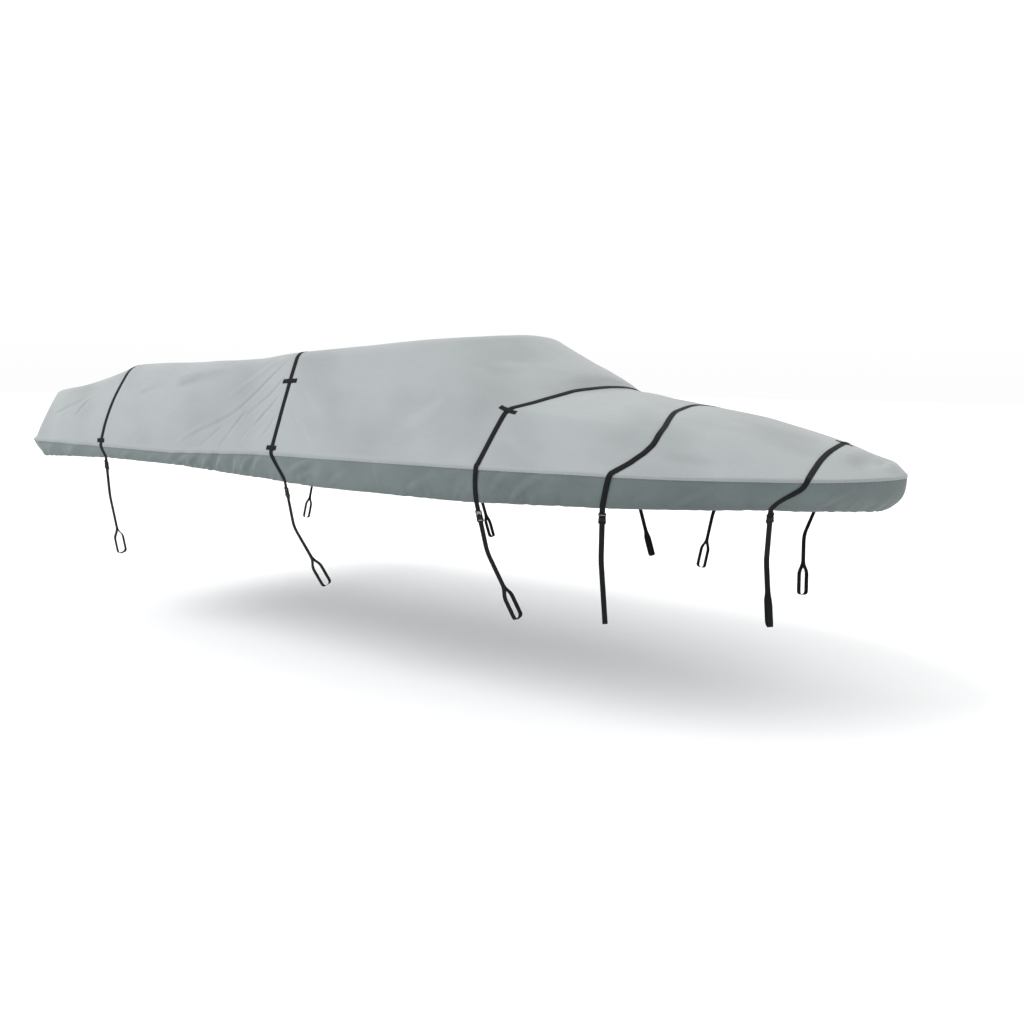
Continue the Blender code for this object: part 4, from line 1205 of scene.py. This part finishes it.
# %% Sizes and places of the webbing
WEB_WIDTH = 0.025
WEB_THICK = 0.0016
WEB_LIFT = 0.0008         # a strap's lower face clears the cloth by this much
WEB_EDGE = 0.0006         # how far the long edges of the webbing are rounded
BELT_THICK = 0.0013
BUCKLE_LENGTH = 0.058
SEARCH_REACH = 0.03       # cloth is looked for this far above and below a strap's line
DEEPEST_HOLLOW = -0.004   # a strap dips no further than this into a hollow

HANGERS = (
    # strap, drop, knee_x, knee_y, knee_z, loop_x, loop_y, loop_z, turn
    (1, 0.028, -1.985, 0.925, -0.961, -2.020, 0.842, -1.359, 0.0),
    (2, 0.035, -0.325, 0.915, -1.001, -0.160, 0.840, -1.321, 0.0),
    (3, 0.045, 0.942, 0.910, -0.991, 1.075, 0.838, -1.311, 0.0),
    (4, 0.030, 1.478, 0.790, -0.991, 1.454, 0.679, -1.308, 28.0),
    (5, 0.025, 2.108, 0.375, -0.991, 2.128, 0.336, -1.303, 28.0),
)

STRAP_STEPS = (
    # share up where a stretch of a strap starts, places on it
    (-1.0, 15),
    (0.0, 44),
    (1.0, 52),
)

BELTS = (
    # strap, up, half_length, shift, sides, with no side for one in the middle
    (2, 0.67, 0.050, 0.000, 2),
    (3, 1.00, 0.048, 0.000, 2),
    (5, 2.00, 0.040, 0.000, 0),
    (1, 0.05, 0.036, -0.004, 2),
    (2, 0.05, 0.036, -0.004, 2),
)
print("belt loops", sum(max(sides, 1) for *_, sides in BELTS))

# %% [markdown]
# At each place of a strap's line, rays go down onto the cloth across the strap's whole width, and the highest
# cloth that they meet carries the strap. What lies between two high places is bridged by taking the highest
# of a few neighbours and evening that out.

# %% Laying webbing on the cloth
def cloth_tree():
    """A search tree of the outer faces of both cloths."""
    points, faces = [], []
    for made in (cover_top, cover_band):
        base = len(points)
        points += [v.co.copy() for v in made.data.vertices]
        faces += [[base + k for k in p.vertices] for p in made.data.polygons]
    return BVHTree.FromPolygons(points, faces)


tree = cloth_tree()


def cloth_height(point, across, normal):
    """How far the cloth rises over a point, anywhere below the width of a strap."""
    highest = DEEPEST_HOLLOW
    for share in (-0.50, -0.33, -0.16, 0.0, 0.16, 0.33, 0.50):
        start = Vector(point + across * (share * WEB_WIDTH) + normal * SEARCH_REACH)
        distance = tree.ray_cast(start, Vector(-normal), 2.0 * SEARCH_REACH)[3]
        if distance is not None:
            highest = max(highest, SEARCH_REACH - distance)
    return highest


def evened(values, width, passes=1):
    """Values along an open line, averaged with their neighbours."""
    values = np.array(values, float)
    for _ in range(passes):
        padded = np.concatenate((values[:1].repeat(width, 0), values, values[-1:].repeat(width, 0)))
        values = np.mean([padded[k:k + len(values)] for k in range(2 * width + 1)], axis=0)
    return values


def laid(points, normals, lifts, bridge=3):
    """Frames (middle of the lower face, across, normal) of webbing laid on the cloth."""
    points, normals = np.array(points), unit(evened(normals, 1))
    along = unit(np.gradient(points, axis=0))
    across = unit(np.cross(along, normals))
    heights = np.array([cloth_height(*place) for place in zip(points, across, normals)])
    padded = np.pad(heights, bridge, mode="edge")
    roof = np.max([padded[k:k + len(heights)] for k in range(2 * bridge + 1)], axis=0)
    raised = np.maximum(evened(roof, bridge), heights) + np.array(lifts)
    return [(p + n * h, a, n) for p, n, a, h in zip(points, normals, across, raised)]


def cover_point(side, x, up):
    """Point and normal of the cloth on one side, at a share up from -1 at the hem to 2 in the middle."""
    if up < 0.0:
        return band.look(band.points, side, x, -up), unit(band.look(band.normals, side, x, -up))
    share = up if side < 0 else 4.0 - up
    return top.at(top.points, x, share), unit(top.at(top.normals, x, share))


def strap_path(number):
    """Points and normals along a strap, from the starboard hem over the top to the port hem."""
    on_band, on_wall, on_top = (np.linspace(low, low + 1.0, count) for low, count in STRAP_STEPS)
    ups = np.concatenate((on_band[:-1], on_wall[:-1], on_top))
    one = [cover_point(-1, strap_x(number, up), up) for up in ups]
    other = [cover_point(1, strap_x(number, up), up) for up in ups[-2::-1]]
    points = np.array([p for p, _ in one + other])
    normals = np.array([n for _, n in one + other])
    return evened(points, 1), unit(evened(normals, 2))


print("strap 2 crosses the middle at x", round(strap_x(2, 2.0), 3))

# %% [markdown]
# Webbing is a flat band with soft edges, so its section has ten corners and is carried along the strap's
# line. The line has its own direction across at every place, because a strap turns over hips and hems, and
# a bevelled curve would twist there.

# %% A flat strap as a mesh
def strap_section(width, thick):
    """The ten corners (across, up) of webbing, from its lower left edge and round."""
    half, inner = width / 2.0, width / 2.0 - WEB_EDGE
    low, high = thick * 0.30, thick * 0.70
    below = ((-half, low), (-inner, 0.0), (0.0, 0.0), (inner, 0.0), (half, low))
    above = ((half, high), (inner, thick), (0.0, thick), (-inner, thick), (-half, high))
    return below + above


def ribbon(name, frames, width, thick, finish, closed=False):
    """A strap through frames (middle of its lower face, across, normal), with its length."""
    builder = bmesh.new()
    uv_layer = builder.loops.layers.uv.new("UVMap")
    end_layer = builder.verts.layers.float.new("end")
    profile = strap_section(width, thick)
    middles = np.array([frame[0] for frame in frames])
    run = arc_lengths(middles, 0)
    rings = []
    for (middle, across, normal), at in zip(frames, run):
        ring = []
        for a, b in profile:
            vert = builder.verts.new(middle + across * a + normal * b)
            vert[end_layer] = 1.0 if closed else float(min(at, run[-1] - at))
            ring.append(vert)
        rings.append(ring)
    count, size = len(rings), len(profile)
    whole = run[-1] + float(np.linalg.norm(middles[0] - middles[-1]))
    for k in range(count if closed else count - 1):
        after = (k + 1) % count
        low, high = run[k], run[after] if after else whole
        for j in range(size):
            other = (j + 1) % size
            face = builder.faces.new((rings[k][j], rings[k][other], rings[after][other], rings[after][j]))
            face.smooth = True
            one, next_one = profile[j][0], profile[other][0]
            places = ((low, one), (low, next_one), (high, next_one), (high, one))
            for loop, uv in zip(face.loops, places):
                loop[uv_layer].uv = uv
    if not closed:
        for ring in (rings[0], rings[-1][::-1]):
            face = builder.faces.new(ring)
            for loop in face.loops:
                loop[uv_layer].uv = (0.0, 0.0)
    bmesh.ops.recalc_face_normals(builder, faces=builder.faces)
    if builder.calc_volume(signed=True) < 0.0:
        bmesh.ops.reverse_faces(builder, faces=builder.faces)
    return to_object(name, builder, finish), float(run[-1])


# %% [markdown]
# Polypropylene webbing is woven in fine ribs with a chevron, a little grey on its crowns and at its edges.
# The moulded buckles are plain black plastic with a faint grain.

# %% Webbing and buckle materials
WEB_COLOURS = ((0.0030, 0.0036, 0.0042), (0.0125, 0.0138, 0.0150))        # in the grooves, on the crowns
PLASTIC_COLOURS = ((0.0035, 0.004, 0.0045), (0.010, 0.011, 0.012))        # fresh, rubbed
CHEVRON_PITCH = 0.0042
RIB_PITCH = 0.0024
WARP_PITCH = 0.0021
WEB_STITCH_PITCH = 0.0042
WEB_STITCH_ROWS = (0.0045, 0.0150)    # distances from an open end


def web_material():
    """Black webbing, with its ribs and warp from its own map and stitches near its open ends."""
    graph = Graph("black_webbing", (0.006, 0.007, 0.008), 0.66, specular=0.12)
    u, v = graph.parts(graph.map_place())
    end = graph.attribute("end")
    chevron = graph.math("PINGPONG", v + 0.10, CHEVRON_PITCH) * 0.9
    rib = graph.wave(u + chevron, RIB_PITCH) * 0.5 + 0.5
    warp = graph.wave(v, WARP_PITCH) * 0.5 + 0.5
    worn = graph.noise(graph.object_place(), 24.0, 3.0, 0.6)
    rim = graph.between(abs(v), WEB_WIDTH * 0.40, WEB_WIDTH * 0.49)
    first, second = (graph.thin_line(end, row, 0.0004, 0.0009) for row in WEB_STITCH_ROWS)
    stitches = (first + second) * graph.dashes(v, WEB_STITCH_PITCH, (0.08, 0.24), (0.70, 0.86))
    light = rib * warp * 0.55 + worn * 0.30 + rim * 0.25 + stitches * 0.5
    dark_web, light_web = (rgb(colour) for colour in WEB_COLOURS)
    graph.set(graph.shader, "Base Color", graph.mix(light, dark_web, light_web))
    graph.set(graph.shader, "Roughness", 0.58 + worn * 0.22)
    normal = graph.bump(rib * 0.7 + warp * 0.3 + stitches * 1.2, 0.00045, 0.9)
    graph.set(graph.shader, "Normal", normal)
    return graph.material


def buckle_material():
    """Black moulded plastic with a faint grain, a little greyer where it is rubbed."""
    graph = Graph("black_plastic", (0.006, 0.0065, 0.007), 0.52, specular=0.14)
    place = graph.object_place()
    grain = graph.noise(place, 900.0, 2.0, 0.6)
    rub = graph.noise(place, 60.0, 4.0, 0.6)
    fresh, rubbed = (rgb(colour) for colour in PLASTIC_COLOURS)
    graph.set(graph.shader, "Base Color", graph.mix(rub, fresh, rubbed))
    graph.set(graph.shader, "Roughness", 0.42 + rub * 0.22)
    graph.set(graph.shader, "Normal", graph.bump(grain, 0.0002, 0.5))
    return graph.material


web_finish = web_material()
buckle_finish = buckle_material()
print("finishes", web_finish.name, buckle_finish.name)

# %% [markdown]
# Below its hem each strap drops to a buckle. The lower strap hangs from the buckle, bends over its knee and
# ends in a loop. One frame of directions holds from the hem to the knee and a second from there on. All of
# this is worked out from three places for each strap, because a tight strap runs straight between them.

# %% Over straps
TAIL_SHARES = (1.0, 0.75, 0.5, 0.25)      # places on the stretch between the hem and the buckle
INTO_BUCKLE = 0.006       # the strap ends this far inside its buckle


def hanger(number, side, hem_point, hem_across):
    """Places and directions of the buckle and the lower strap below the hem."""
    _, drop, knee_x, knee_y, knee_z, loop_x, loop_y, loop_z, loop_turn = HANGERS[number - 1]
    knee = np.array((knee_x, side * knee_y, knee_z))
    end = np.array((loop_x, side * loop_y, loop_z))
    turn = math.radians(loop_turn)
    loop_across = np.array((math.cos(turn), -side * math.sin(turn), 0.0))
    frames = []
    for down, hint in ((unit(knee - hem_point), hem_across), (unit(end - knee), loop_across)):
        across = unit(hint - down * float(hint @ down))
        out = unit(np.cross(down, across))
        if out[1] * side < 0.0:
            out = -out
        frames.append((down, across, out))
    tip = hem_point + frames[0][0] * drop
    return {"tip": tip, "knee": knee, "end": end, "drop": drop, "top": frames[0], "low": frames[1]}


def tail_frames(frame, hem, hang):
    """Frames of a strap's end, from its buckle up to the hem."""
    down, buckle_across, out = hang["top"]
    sign = 1.0 if frame[1] @ buckle_across > 0.0 else -1.0
    tail = []
    for share in TAIL_SHARES:
        turn = min(1.0, share * 1.6)
        normal = unit(frame[2] * (1.0 - turn) + out * turn)
        across = unit(frame[1] * (1.0 - turn) + buckle_across * sign * turn)
        middle = hem + down * ((hang["drop"] + INTO_BUCKLE) * share)
        tail.append((middle - normal * (WEB_THICK / 2.0), across, normal))
    return tail


def over_strap(number):
    """One strap from buckle to buckle, with what hangs at its two ends."""
    points, normals = strap_path(number)
    laid_frames = laid(points, normals, [WEB_LIFT] * len(points))
    hangs, tails = [], []
    for side, frame in ((-1, laid_frames[0]), (1, laid_frames[-1])):
        hem = frame[0] + frame[2] * (WEB_THICK / 2.0)
        across = frame[1] if frame[1][0] > 0.0 else -frame[1]
        hang = hanger(number, side, hem, across)
        hangs.append(hang)
        tails.append(tail_frames(frame, hem, hang))
    frames = tails[0] + laid_frames + tails[1][::-1]
    made, length = ribbon(f"webbing_over_{number}", frames, WEB_WIDTH, WEB_THICK, web_finish)
    return made, length, hangs


# %% [markdown]
# A lower strap is one length of webbing that runs round the buckle's last bar, down in two layers that are
# sewn together, and apart into a loop at its foot. Its line is drawn flat first, as a closed outline of
# distances outwards and down, and then bent over the knee, so that its length stays true.

# %% Lower straps
LOOP_HALF_GAP = 0.029
LOOP_LENGTH = 0.165
LOOP_TAPER = 0.045        # the loop opens over this length
LOOP_CORNER = 0.018
LAYER_GAP = 0.00025       # half the gap between the two layers
KNEE_REACH = 0.035        # the stem bends over its knee along this length to each side
LAYER = 0.0011            # one layer of the lower strap's webbing
BAR_REACH = 0.0512        # the webbing turns round the buckle's last bar here
HALF_STEM = LAYER / 2.0 + LAYER_GAP
BAR_TURN = (
    # outwards, down from the bar
    (0.0, 0.0),
    (0.0020, 0.0012),
    (0.0029, 0.0040),
    (0.0026, 0.0078),
    (HALF_STEM + 0.0006, 0.0150),
    (HALF_STEM, 0.0240),
)
LOOP_OPENING = (
    # share of the loop's half gap, share of the taper
    (0.42, 0.40),
    (0.80, 0.78),
    (0.975, 1.12),
)


def loop_line(length):
    """One side of the lower strap's closed line, laid flat: (outwards, down), from bar to foot."""
    fork = length - LOOP_LENGTH
    gap, corner = LOOP_HALF_GAP, LOOP_CORNER
    line = [(out, BAR_REACH + down) for out, down in BAR_TURN]
    line += [(HALF_STEM, down) for down in np.linspace(BAR_REACH + 0.040, fork - 0.030, 22)]
    line += [(HALF_STEM + 0.0004, fork - 0.012), (0.0038, fork + 0.002)]
    line += [(gap * wide, fork + LOOP_TAPER * down) for wide, down in LOOP_OPENING]
    line += [(gap, down) for down in np.linspace(fork + LOOP_TAPER * 1.4, length - corner - 0.004, 8)]
    for angle in (12.0, 30.0, 50.0, 70.0, 84.0):
        turn = math.radians(angle)
        out = gap - corner * (1.0 - math.cos(turn))
        line.append((out, length - corner + corner * math.sin(turn) - 0.0004))
    return line + [(gap * 0.15, length - 0.0003)]


print("points of a lower strap's line", 2 * len(loop_line(0.6)) - 2)

# %% [markdown]
# The flat line is then bent. Down to the knee a strap keeps the buckle's directions, and past it those of
# the loop, with a soft turn between them and a slow twist on the way, as a hanging strap has.

# %% Bending a lower strap over its knee
def lower_strap(name, hang):
    """Webbing that runs from the buckle's bar down, round its loop and back up, sewn along its stem."""
    tip, knee = hang["tip"], hang["knee"]
    knee_at = float(np.linalg.norm(knee - tip))
    length = knee_at + float(np.linalg.norm(hang["end"] - knee))
    fork = length - LOOP_LENGTH
    half_line = loop_line(length)
    line = half_line + [(-out, down) for out, down in half_line[-1:0:-1]]

    def bend(off, run):
        """From the flat line to its place, with the direction across, the stem turned over the knee."""
        turned = float(np.clip((run - knee_at + KNEE_REACH) / (2.0 * KNEE_REACH), 0.0, 1.0))
        lowered = KNEE_REACH * turned ** 2 + max(run - knee_at - KNEE_REACH, 0.0)
        share = float(np.clip(0.5 * (run - BUCKLE_LENGTH) / (knee_at - BUCKLE_LENGTH), 0.0, 0.5))
        if run > knee_at:
            share = min(0.5 + 0.5 * (run - knee_at) / (fork - knee_at), 1.0)
        along = tip + hang["top"][0] * (run - lowered) + hang["low"][0] * lowered
        across = unit(hang["top"][1] * (1.0 - share) + hang["low"][1] * share)
        out = unit(hang["top"][2] * (1.0 - share) + hang["low"][2] * share)
        return along + out * off, across

    placed = [bend(off, run) for off, run in line]
    points = np.array([place[0] for place in placed])
    across = np.array([place[1] for place in placed])
    along = unit(np.roll(points, -1, axis=0) - np.roll(points, 1, axis=0))
    normals = unit(np.cross(across, along))
    frames = [(p - n * (LAYER / 2.0), a, n) for p, a, n in zip(points, across, normals)]
    return ribbon(name, frames, WEB_WIDTH - 0.0004, LAYER, web_finish, closed=True)


# %% [markdown]
# The buckle has two moulded halves: a frame with two sprung prongs, and a shell with windows at its sides
# where the prongs show. Each is made of flat outlines, some with a slot, extruded and with soft edges. A
# moulder would draw them from the front too, so outlines say more here than blocks cut by booleans.

# %% Outlines of the buckle
SLOT_HALF = 0.0132        # half the width of every slot for webbing
SHARP_TURN = 0.6          # edges that turn by more than this angle are rounded

FRAME_HALF = ((0.0006, 0.0145), (0.0025, 0.0168), (0.0165, 0.0168), (0.0190, 0.0150))
PRONG = (
    (0.0170, 0.0095), (0.0250, 0.0112), (0.0340, 0.0126), (0.0405, 0.0128), (0.0405, 0.0150),
    (0.0375, 0.0166), (0.0330, 0.0170), (0.0270, 0.0158), (0.0220, 0.0146), (0.0170, 0.0148),
)
SHELL_HALF = (
    (0.0225, 0.0120), (0.0240, 0.0150), (0.0262, 0.0158), (0.0285, 0.0150), (0.0298, 0.0116),
    (0.0378, 0.0112), (0.0400, 0.0150), (0.0430, 0.0170), (0.0548, 0.0168), (0.0572, 0.0145),
)
TONGUE_HALF = ((0.0170, 0.0030), (0.0350, 0.0024))
SIDE_WALL_HALF = ((0.0400, 0.0150), (0.0430, 0.0164), (0.0470, 0.0164), (0.0474, 0.0150))
END_BAR_HALF = ((0.0532, 0.0160), (0.0562, 0.0150))
THUMB_PAD_HALF = ((0.0300, 0.0050), (0.0310, 0.0064), (0.0370, 0.0064), (0.0380, 0.0050))


def mirrored(half):
    """A closed outline from its one half, given as (down, across) with across above 0."""
    return list(half) + [(down, -across) for down, across in reversed(half)]


def web_slot(low, high):
    """The outline of a slot for webbing between two distances down."""
    return [(low, -SLOT_HALF), (high, -SLOT_HALF), (high, SLOT_HALF), (low, SLOT_HALF)]


def buckle_plates():
    """All flat pieces of the buckle: (outlines, lower face, upper face, rounding of the edges)."""
    frame_outlines = [mirrored(FRAME_HALF), web_slot(0.0040, 0.0078), web_slot(0.0112, 0.0150)]
    shell_outlines = [mirrored(SHELL_HALF), web_slot(0.0478, 0.0526)]
    prongs = [[(down, side * across) for down, across in PRONG] for side in (-1.0, 1.0)]
    return (
        (frame_outlines, -0.0026, 0.0026, 0.0007),
        (prongs[:1], -0.0024, 0.0024, 0.0007),
        (prongs[1:], -0.0024, 0.0024, 0.0007),
        ([mirrored(TONGUE_HALF)], -0.0014, 0.0014, 0.0004),
        (shell_outlines, 0.0018, 0.0046, 0.0007),
        (shell_outlines, -0.0046, -0.0018, 0.0007),
        ([mirrored(SIDE_WALL_HALF)], -0.0030, 0.0030, 0.0007),
        ([mirrored(END_BAR_HALF)], -0.0022, 0.0022, 0.0007),
        ([mirrored(THUMB_PAD_HALF)], 0.0044, 0.0052, 0.0003),
    )


print("plates of a buckle", len(buckle_plates()))

# %% [markdown]
# Each outline is filled, extruded to its thickness and given soft edges, and all the plates are joined in
# one mesh. It is laid out with x down from the buckle's tip, so that one turn and one move take the same
# few outlines to each of the ten places.

# %% Buckles
def plate(builder, outlines, low, high, soft):
    """A flat piece between two heights from an outline and its holes, in (down, across) places."""
    made = bmesh.new()
    edges = []
    for outline in outlines:
        verts = [made.verts.new((down, across, low)) for down, across in outline]
        edges += [made.edges.new((verts[k - 1], verts[k])) for k in range(len(verts))]
    bmesh.ops.triangle_fill(made, edges=edges, use_beauty=True)
    extruded = bmesh.ops.extrude_face_region(made, geom=list(made.faces))
    moved = [v for v in extruded["geom"] if isinstance(v, bmesh.types.BMVert)]
    bmesh.ops.translate(made, verts=moved, vec=(0.0, 0.0, high - low))
    bmesh.ops.recalc_face_normals(made, faces=made.faces)
    sharp = [e for e in made.edges if e.is_manifold and e.calc_face_angle(0.0) > SHARP_TURN]
    bmesh.ops.bevel(made, geom=sharp, offset=soft, offset_type="OFFSET", affect="EDGES", segments=2,
                    profile=0.5, material=-1, clamp_overlap=True)
    mesh = bpy.data.meshes.new("plate")
    made.to_mesh(mesh)
    made.free()
    builder.from_mesh(mesh)
    bpy.data.meshes.remove(mesh)


def buckle(name, hang):
    """A buckle, made with x down from its tip, y across and z outwards, and moved to its strap."""
    turn = Matrix([Vector(direction) for direction in hang["top"]]).transposed()
    builder = bmesh.new()
    for row in buckle_plates():
        plate(builder, *row)
    bmesh.ops.transform(builder, matrix=Matrix.Translation(hang["tip"]) @ turn.to_4x4(), verts=builder.verts)
    if turn.determinant() < 0.0:
        bmesh.ops.reverse_faces(builder, faces=builder.faces)
    for face in builder.faces:
        face.smooth = False
    return to_object(name, builder, buckle_finish)


# %% [markdown]
# A belt loop is a short tab of the same webbing, sewn down fore and aft of its strap so that the strap
# can't wander. It is laid like a strap, but lifted over the strap in its middle.

# %% Belt loops
TAB_LIFT = 0.0004         # a tab's sewn ends clear the cloth by this much
TAB_RISE = WEB_THICK + 0.0016
TAB_REACH = 0.0215        # the tab leaves the cloth this far from the strap's middle
TAB_SLOPE = 0.0065        # and is fully up this much nearer to it


def belt_loop(name, number, up, half_length, shift, side):
    """A short tab sewn down fore and aft of its strap, which passes under it."""
    middle = strap_x(number, up)
    places = np.linspace(shift - half_length, shift + half_length, 27)
    raised = np.clip((TAB_REACH - np.abs(places)) / TAB_SLOPE, 0.0, 1.0) ** 0.8
    found = [cover_point(side, middle + place, up) for place in places]
    points, normals = zip(*found)
    frames = laid(points, normals, TAB_LIFT + TAB_RISE * raised, bridge=1)
    return ribbon(name, frames, WEB_WIDTH, BELT_THICK, web_finish)


# %% [markdown]
# Now all of it is made: for each strap the strap itself, then a lower strap and a buckle on either side, and
# last the belt loops. Each entry keeps the name of its CAD node, its material slot, its flat size and what
# it lies on; the last cell reads only the node's name.

# %% Make the webbing and the buckles
pieces = []
for number in STRAPS:
    made, length, hangs = over_strap(number)
    pieces.append((made, f"over_strap_{number}", "webbing", (WEB_WIDTH, length), ["cover_top", "cover_band"]))
    for word, hang in zip(SIDES.values(), hangs):
        low_web, low_length = lower_strap(f"webbing_lower_{number}_{word}", hang)
        clip = buckle(f"clip_{number}_{word}", hang)
        pieces.append((low_web, f"lower_strap_{number}_{word}", "webbing", (WEB_WIDTH, low_length), [clip]))
        pieces.append((clip, f"buckle_{number}_{word}", "buckle_plastic", None, None))
for number, up, half_length, shift, sides in BELTS:
    level = "low" if up < 0.5 else "high"
    names = {-1: "middle"} if sides == 0 else {side: f"{level}_{word}" for side, word in SIDES.items()}
    for side, word in names.items():
        made, length = belt_loop(f"tab_{number}_{word}", number, up, half_length, shift, side)
        pieces.append((made, f"belt_loop_{number}_{word}", "webbing", (WEB_WIDTH, length), ["cover_top"]))
print(len(pieces), "pieces of webbing and buckles")
for made, node in (piece[:2] for piece in pieces if piece[1].startswith("buckle")):
    low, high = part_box(node)
    middle = sum((v.co for v in made.data.vertices), Vector()) / len(made.data.vertices)
    off = middle - (low + high) / 2.0
    print(node, "off by", [round(1000.0 * c, 1) for c in off], "mm")

# %% [markdown]
# A plain pale floor lies where the part's own ground is, under a bright even sky and one soft sun from the
# stern side. A sun with a wide angle gives the soft shadows of a light cloud, which show the creases without
# hard lines.

# %% Floor and light
FLOOR_COLOURS = ((0.84, 0.845, 0.85), (0.88, 0.885, 0.89))
FLOOR_HALF = 60.0
SKY_STRENGTHS = (0.985, 1.35)     # at the horizon and overhead
SUN_PLACE = (-2.8, -2.7, 4.1)
SUN_STRENGTH = 1.70
SUN_SPREAD = 30.0         # in degrees


def floor_material():
    """A pale, even ground."""
    graph = Graph("pale_floor", (0.86, 0.865, 0.87), 0.70, specular=0.2)
    tone = graph.noise(graph.object_place(), 0.8, 3.0, 0.5)
    darker, lighter = (rgb(colour) for colour in FLOOR_COLOURS)
    graph.set(graph.shader, "Base Color", graph.mix(tone, darker, lighter))
    return graph.material


def pale_floor():
    """The ground, which belongs to the stage and not to the cover."""
    builder = bmesh.new()
    bmesh.ops.create_grid(builder, x_segments=2, y_segments=2, size=FLOOR_HALF)
    bmesh.ops.translate(builder, verts=builder.verts, vec=(0.0, 0.0, FLOOR_Z))
    made = to_object("floor", builder, floor_material())
    made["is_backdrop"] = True


def soft_sun(name, place, strength, spread):
    """A sun that shines from a place towards the middle of the cover, with soft shadows."""
    lamp = bpy.data.lights.new(name, "SUN")
    lamp.energy = strength
    lamp.angle = math.radians(spread)
    made = bpy.data.objects.new(name, lamp)
    made.location = place
    made.rotation_euler = (-Vector(place)).to_track_quat("-Z", "Y").to_euler()
    bpy.context.scene.collection.objects.link(made)


def sky(low, high):
    """An even white sky, with its strengths at the horizon and overhead."""
    world = bpy.data.worlds.new("sky")
    world.use_nodes = True
    bpy.context.scene.world = world
    nodes = Nodes(world.node_tree)
    background = nodes.tree.nodes["Background"]
    direction = nodes.node("ShaderNodeTexCoord", output="Generated")
    height = nodes.node("ShaderNodeSeparateXYZ", None, {"Vector": direction}, output="Z")
    ramp = {"Value": height, "From Min": 0.0, "From Max": 1.0, "To Min": low, "To Max": high}
    nodes.set(background, "Color", (1.0, 1.0, 1.0, 1.0))
    nodes.set(background, "Strength", nodes.node("ShaderNodeMapRange", None, ramp, output="Result"))


pale_floor()
sky(*SKY_STRENGTHS)
soft_sun("key", SUN_PLACE, SUN_STRENGTH, SUN_SPREAD)
print("floor at", FLOOR_Z, "sun at", SUN_PLACE)

# %% [markdown]
# The camera stands at the photograph's viewing angle. Its place and turn were worked out once from the
# photograph, and are kept as real sizes. A lens of the photograph's own focal length and a small shift make
# the picture match it place by place.

# %% Camera
CAMERA_PLACE = (3.047, -4.131, -0.166)
CAMERA_AZIMUTH = 31.44    # left of straight across, in degrees
CAMERA_PITCH = 9.07       # down
CAMERA_ROLL = 0.48
FOCAL_PIXELS = 831.4
CENTRE_ROW = 507.96
IMAGE_SIZE = 1024.0
SENSOR_WIDTH = 36.0       # in millimetres
FAR_CLIP = 200.0


def photo_camera():
    """The camera, made the scene's own."""
    azimuth, pitch, roll = (math.radians(a) for a in (CAMERA_AZIMUTH, CAMERA_PITCH, CAMERA_ROLL))
    level_part = math.cos(pitch)
    forward = Vector((-math.sin(azimuth) * level_part, math.cos(azimuth) * level_part, -math.sin(pitch)))
    level = Vector((math.cos(azimuth), math.sin(azimuth), 0.0))
    upright = level.cross(forward)
    right = level * math.cos(roll) + upright * math.sin(roll)
    up = upright * math.cos(roll) - level * math.sin(roll)
    data = bpy.data.cameras.new("camera")
    data.sensor_width = SENSOR_WIDTH
    data.lens = FOCAL_PIXELS / IMAGE_SIZE * SENSOR_WIDTH
    data.shift_y = (CENTRE_ROW - IMAGE_SIZE / 2.0) / IMAGE_SIZE
    data.clip_end = FAR_CLIP
    made = bpy.data.objects.new("camera", data)
    turn = Matrix((right, up, -forward)).transposed()
    made.matrix_world = Matrix.Translation(CAMERA_PLACE) @ turn.to_4x4()
    bpy.context.scene.collection.objects.link(made)
    bpy.context.scene.camera = made


photo_camera()
bpy.context.scene.view_settings.view_transform = "Standard"
print("camera at", CAMERA_PLACE)

# %% [markdown]
# Every piece stands for its CAD node, whose own mesh is hidden, and rides on the one body.

pieces.append((cover_top, "top_panel", "top_cloth", None, None))
pieces.append((cover_band, "side_band", "band_cloth", None, None))
for made, node, slot, flat, below in pieces:
    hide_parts(node)
    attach(made, "root")

low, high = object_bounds()
print("visual box", [round(v, 3) for v in low], [round(v, 3) for v in high])
print("triangles", sum(len(p.vertices) - 2 for made, *_ in pieces for p in made.data.polygons))
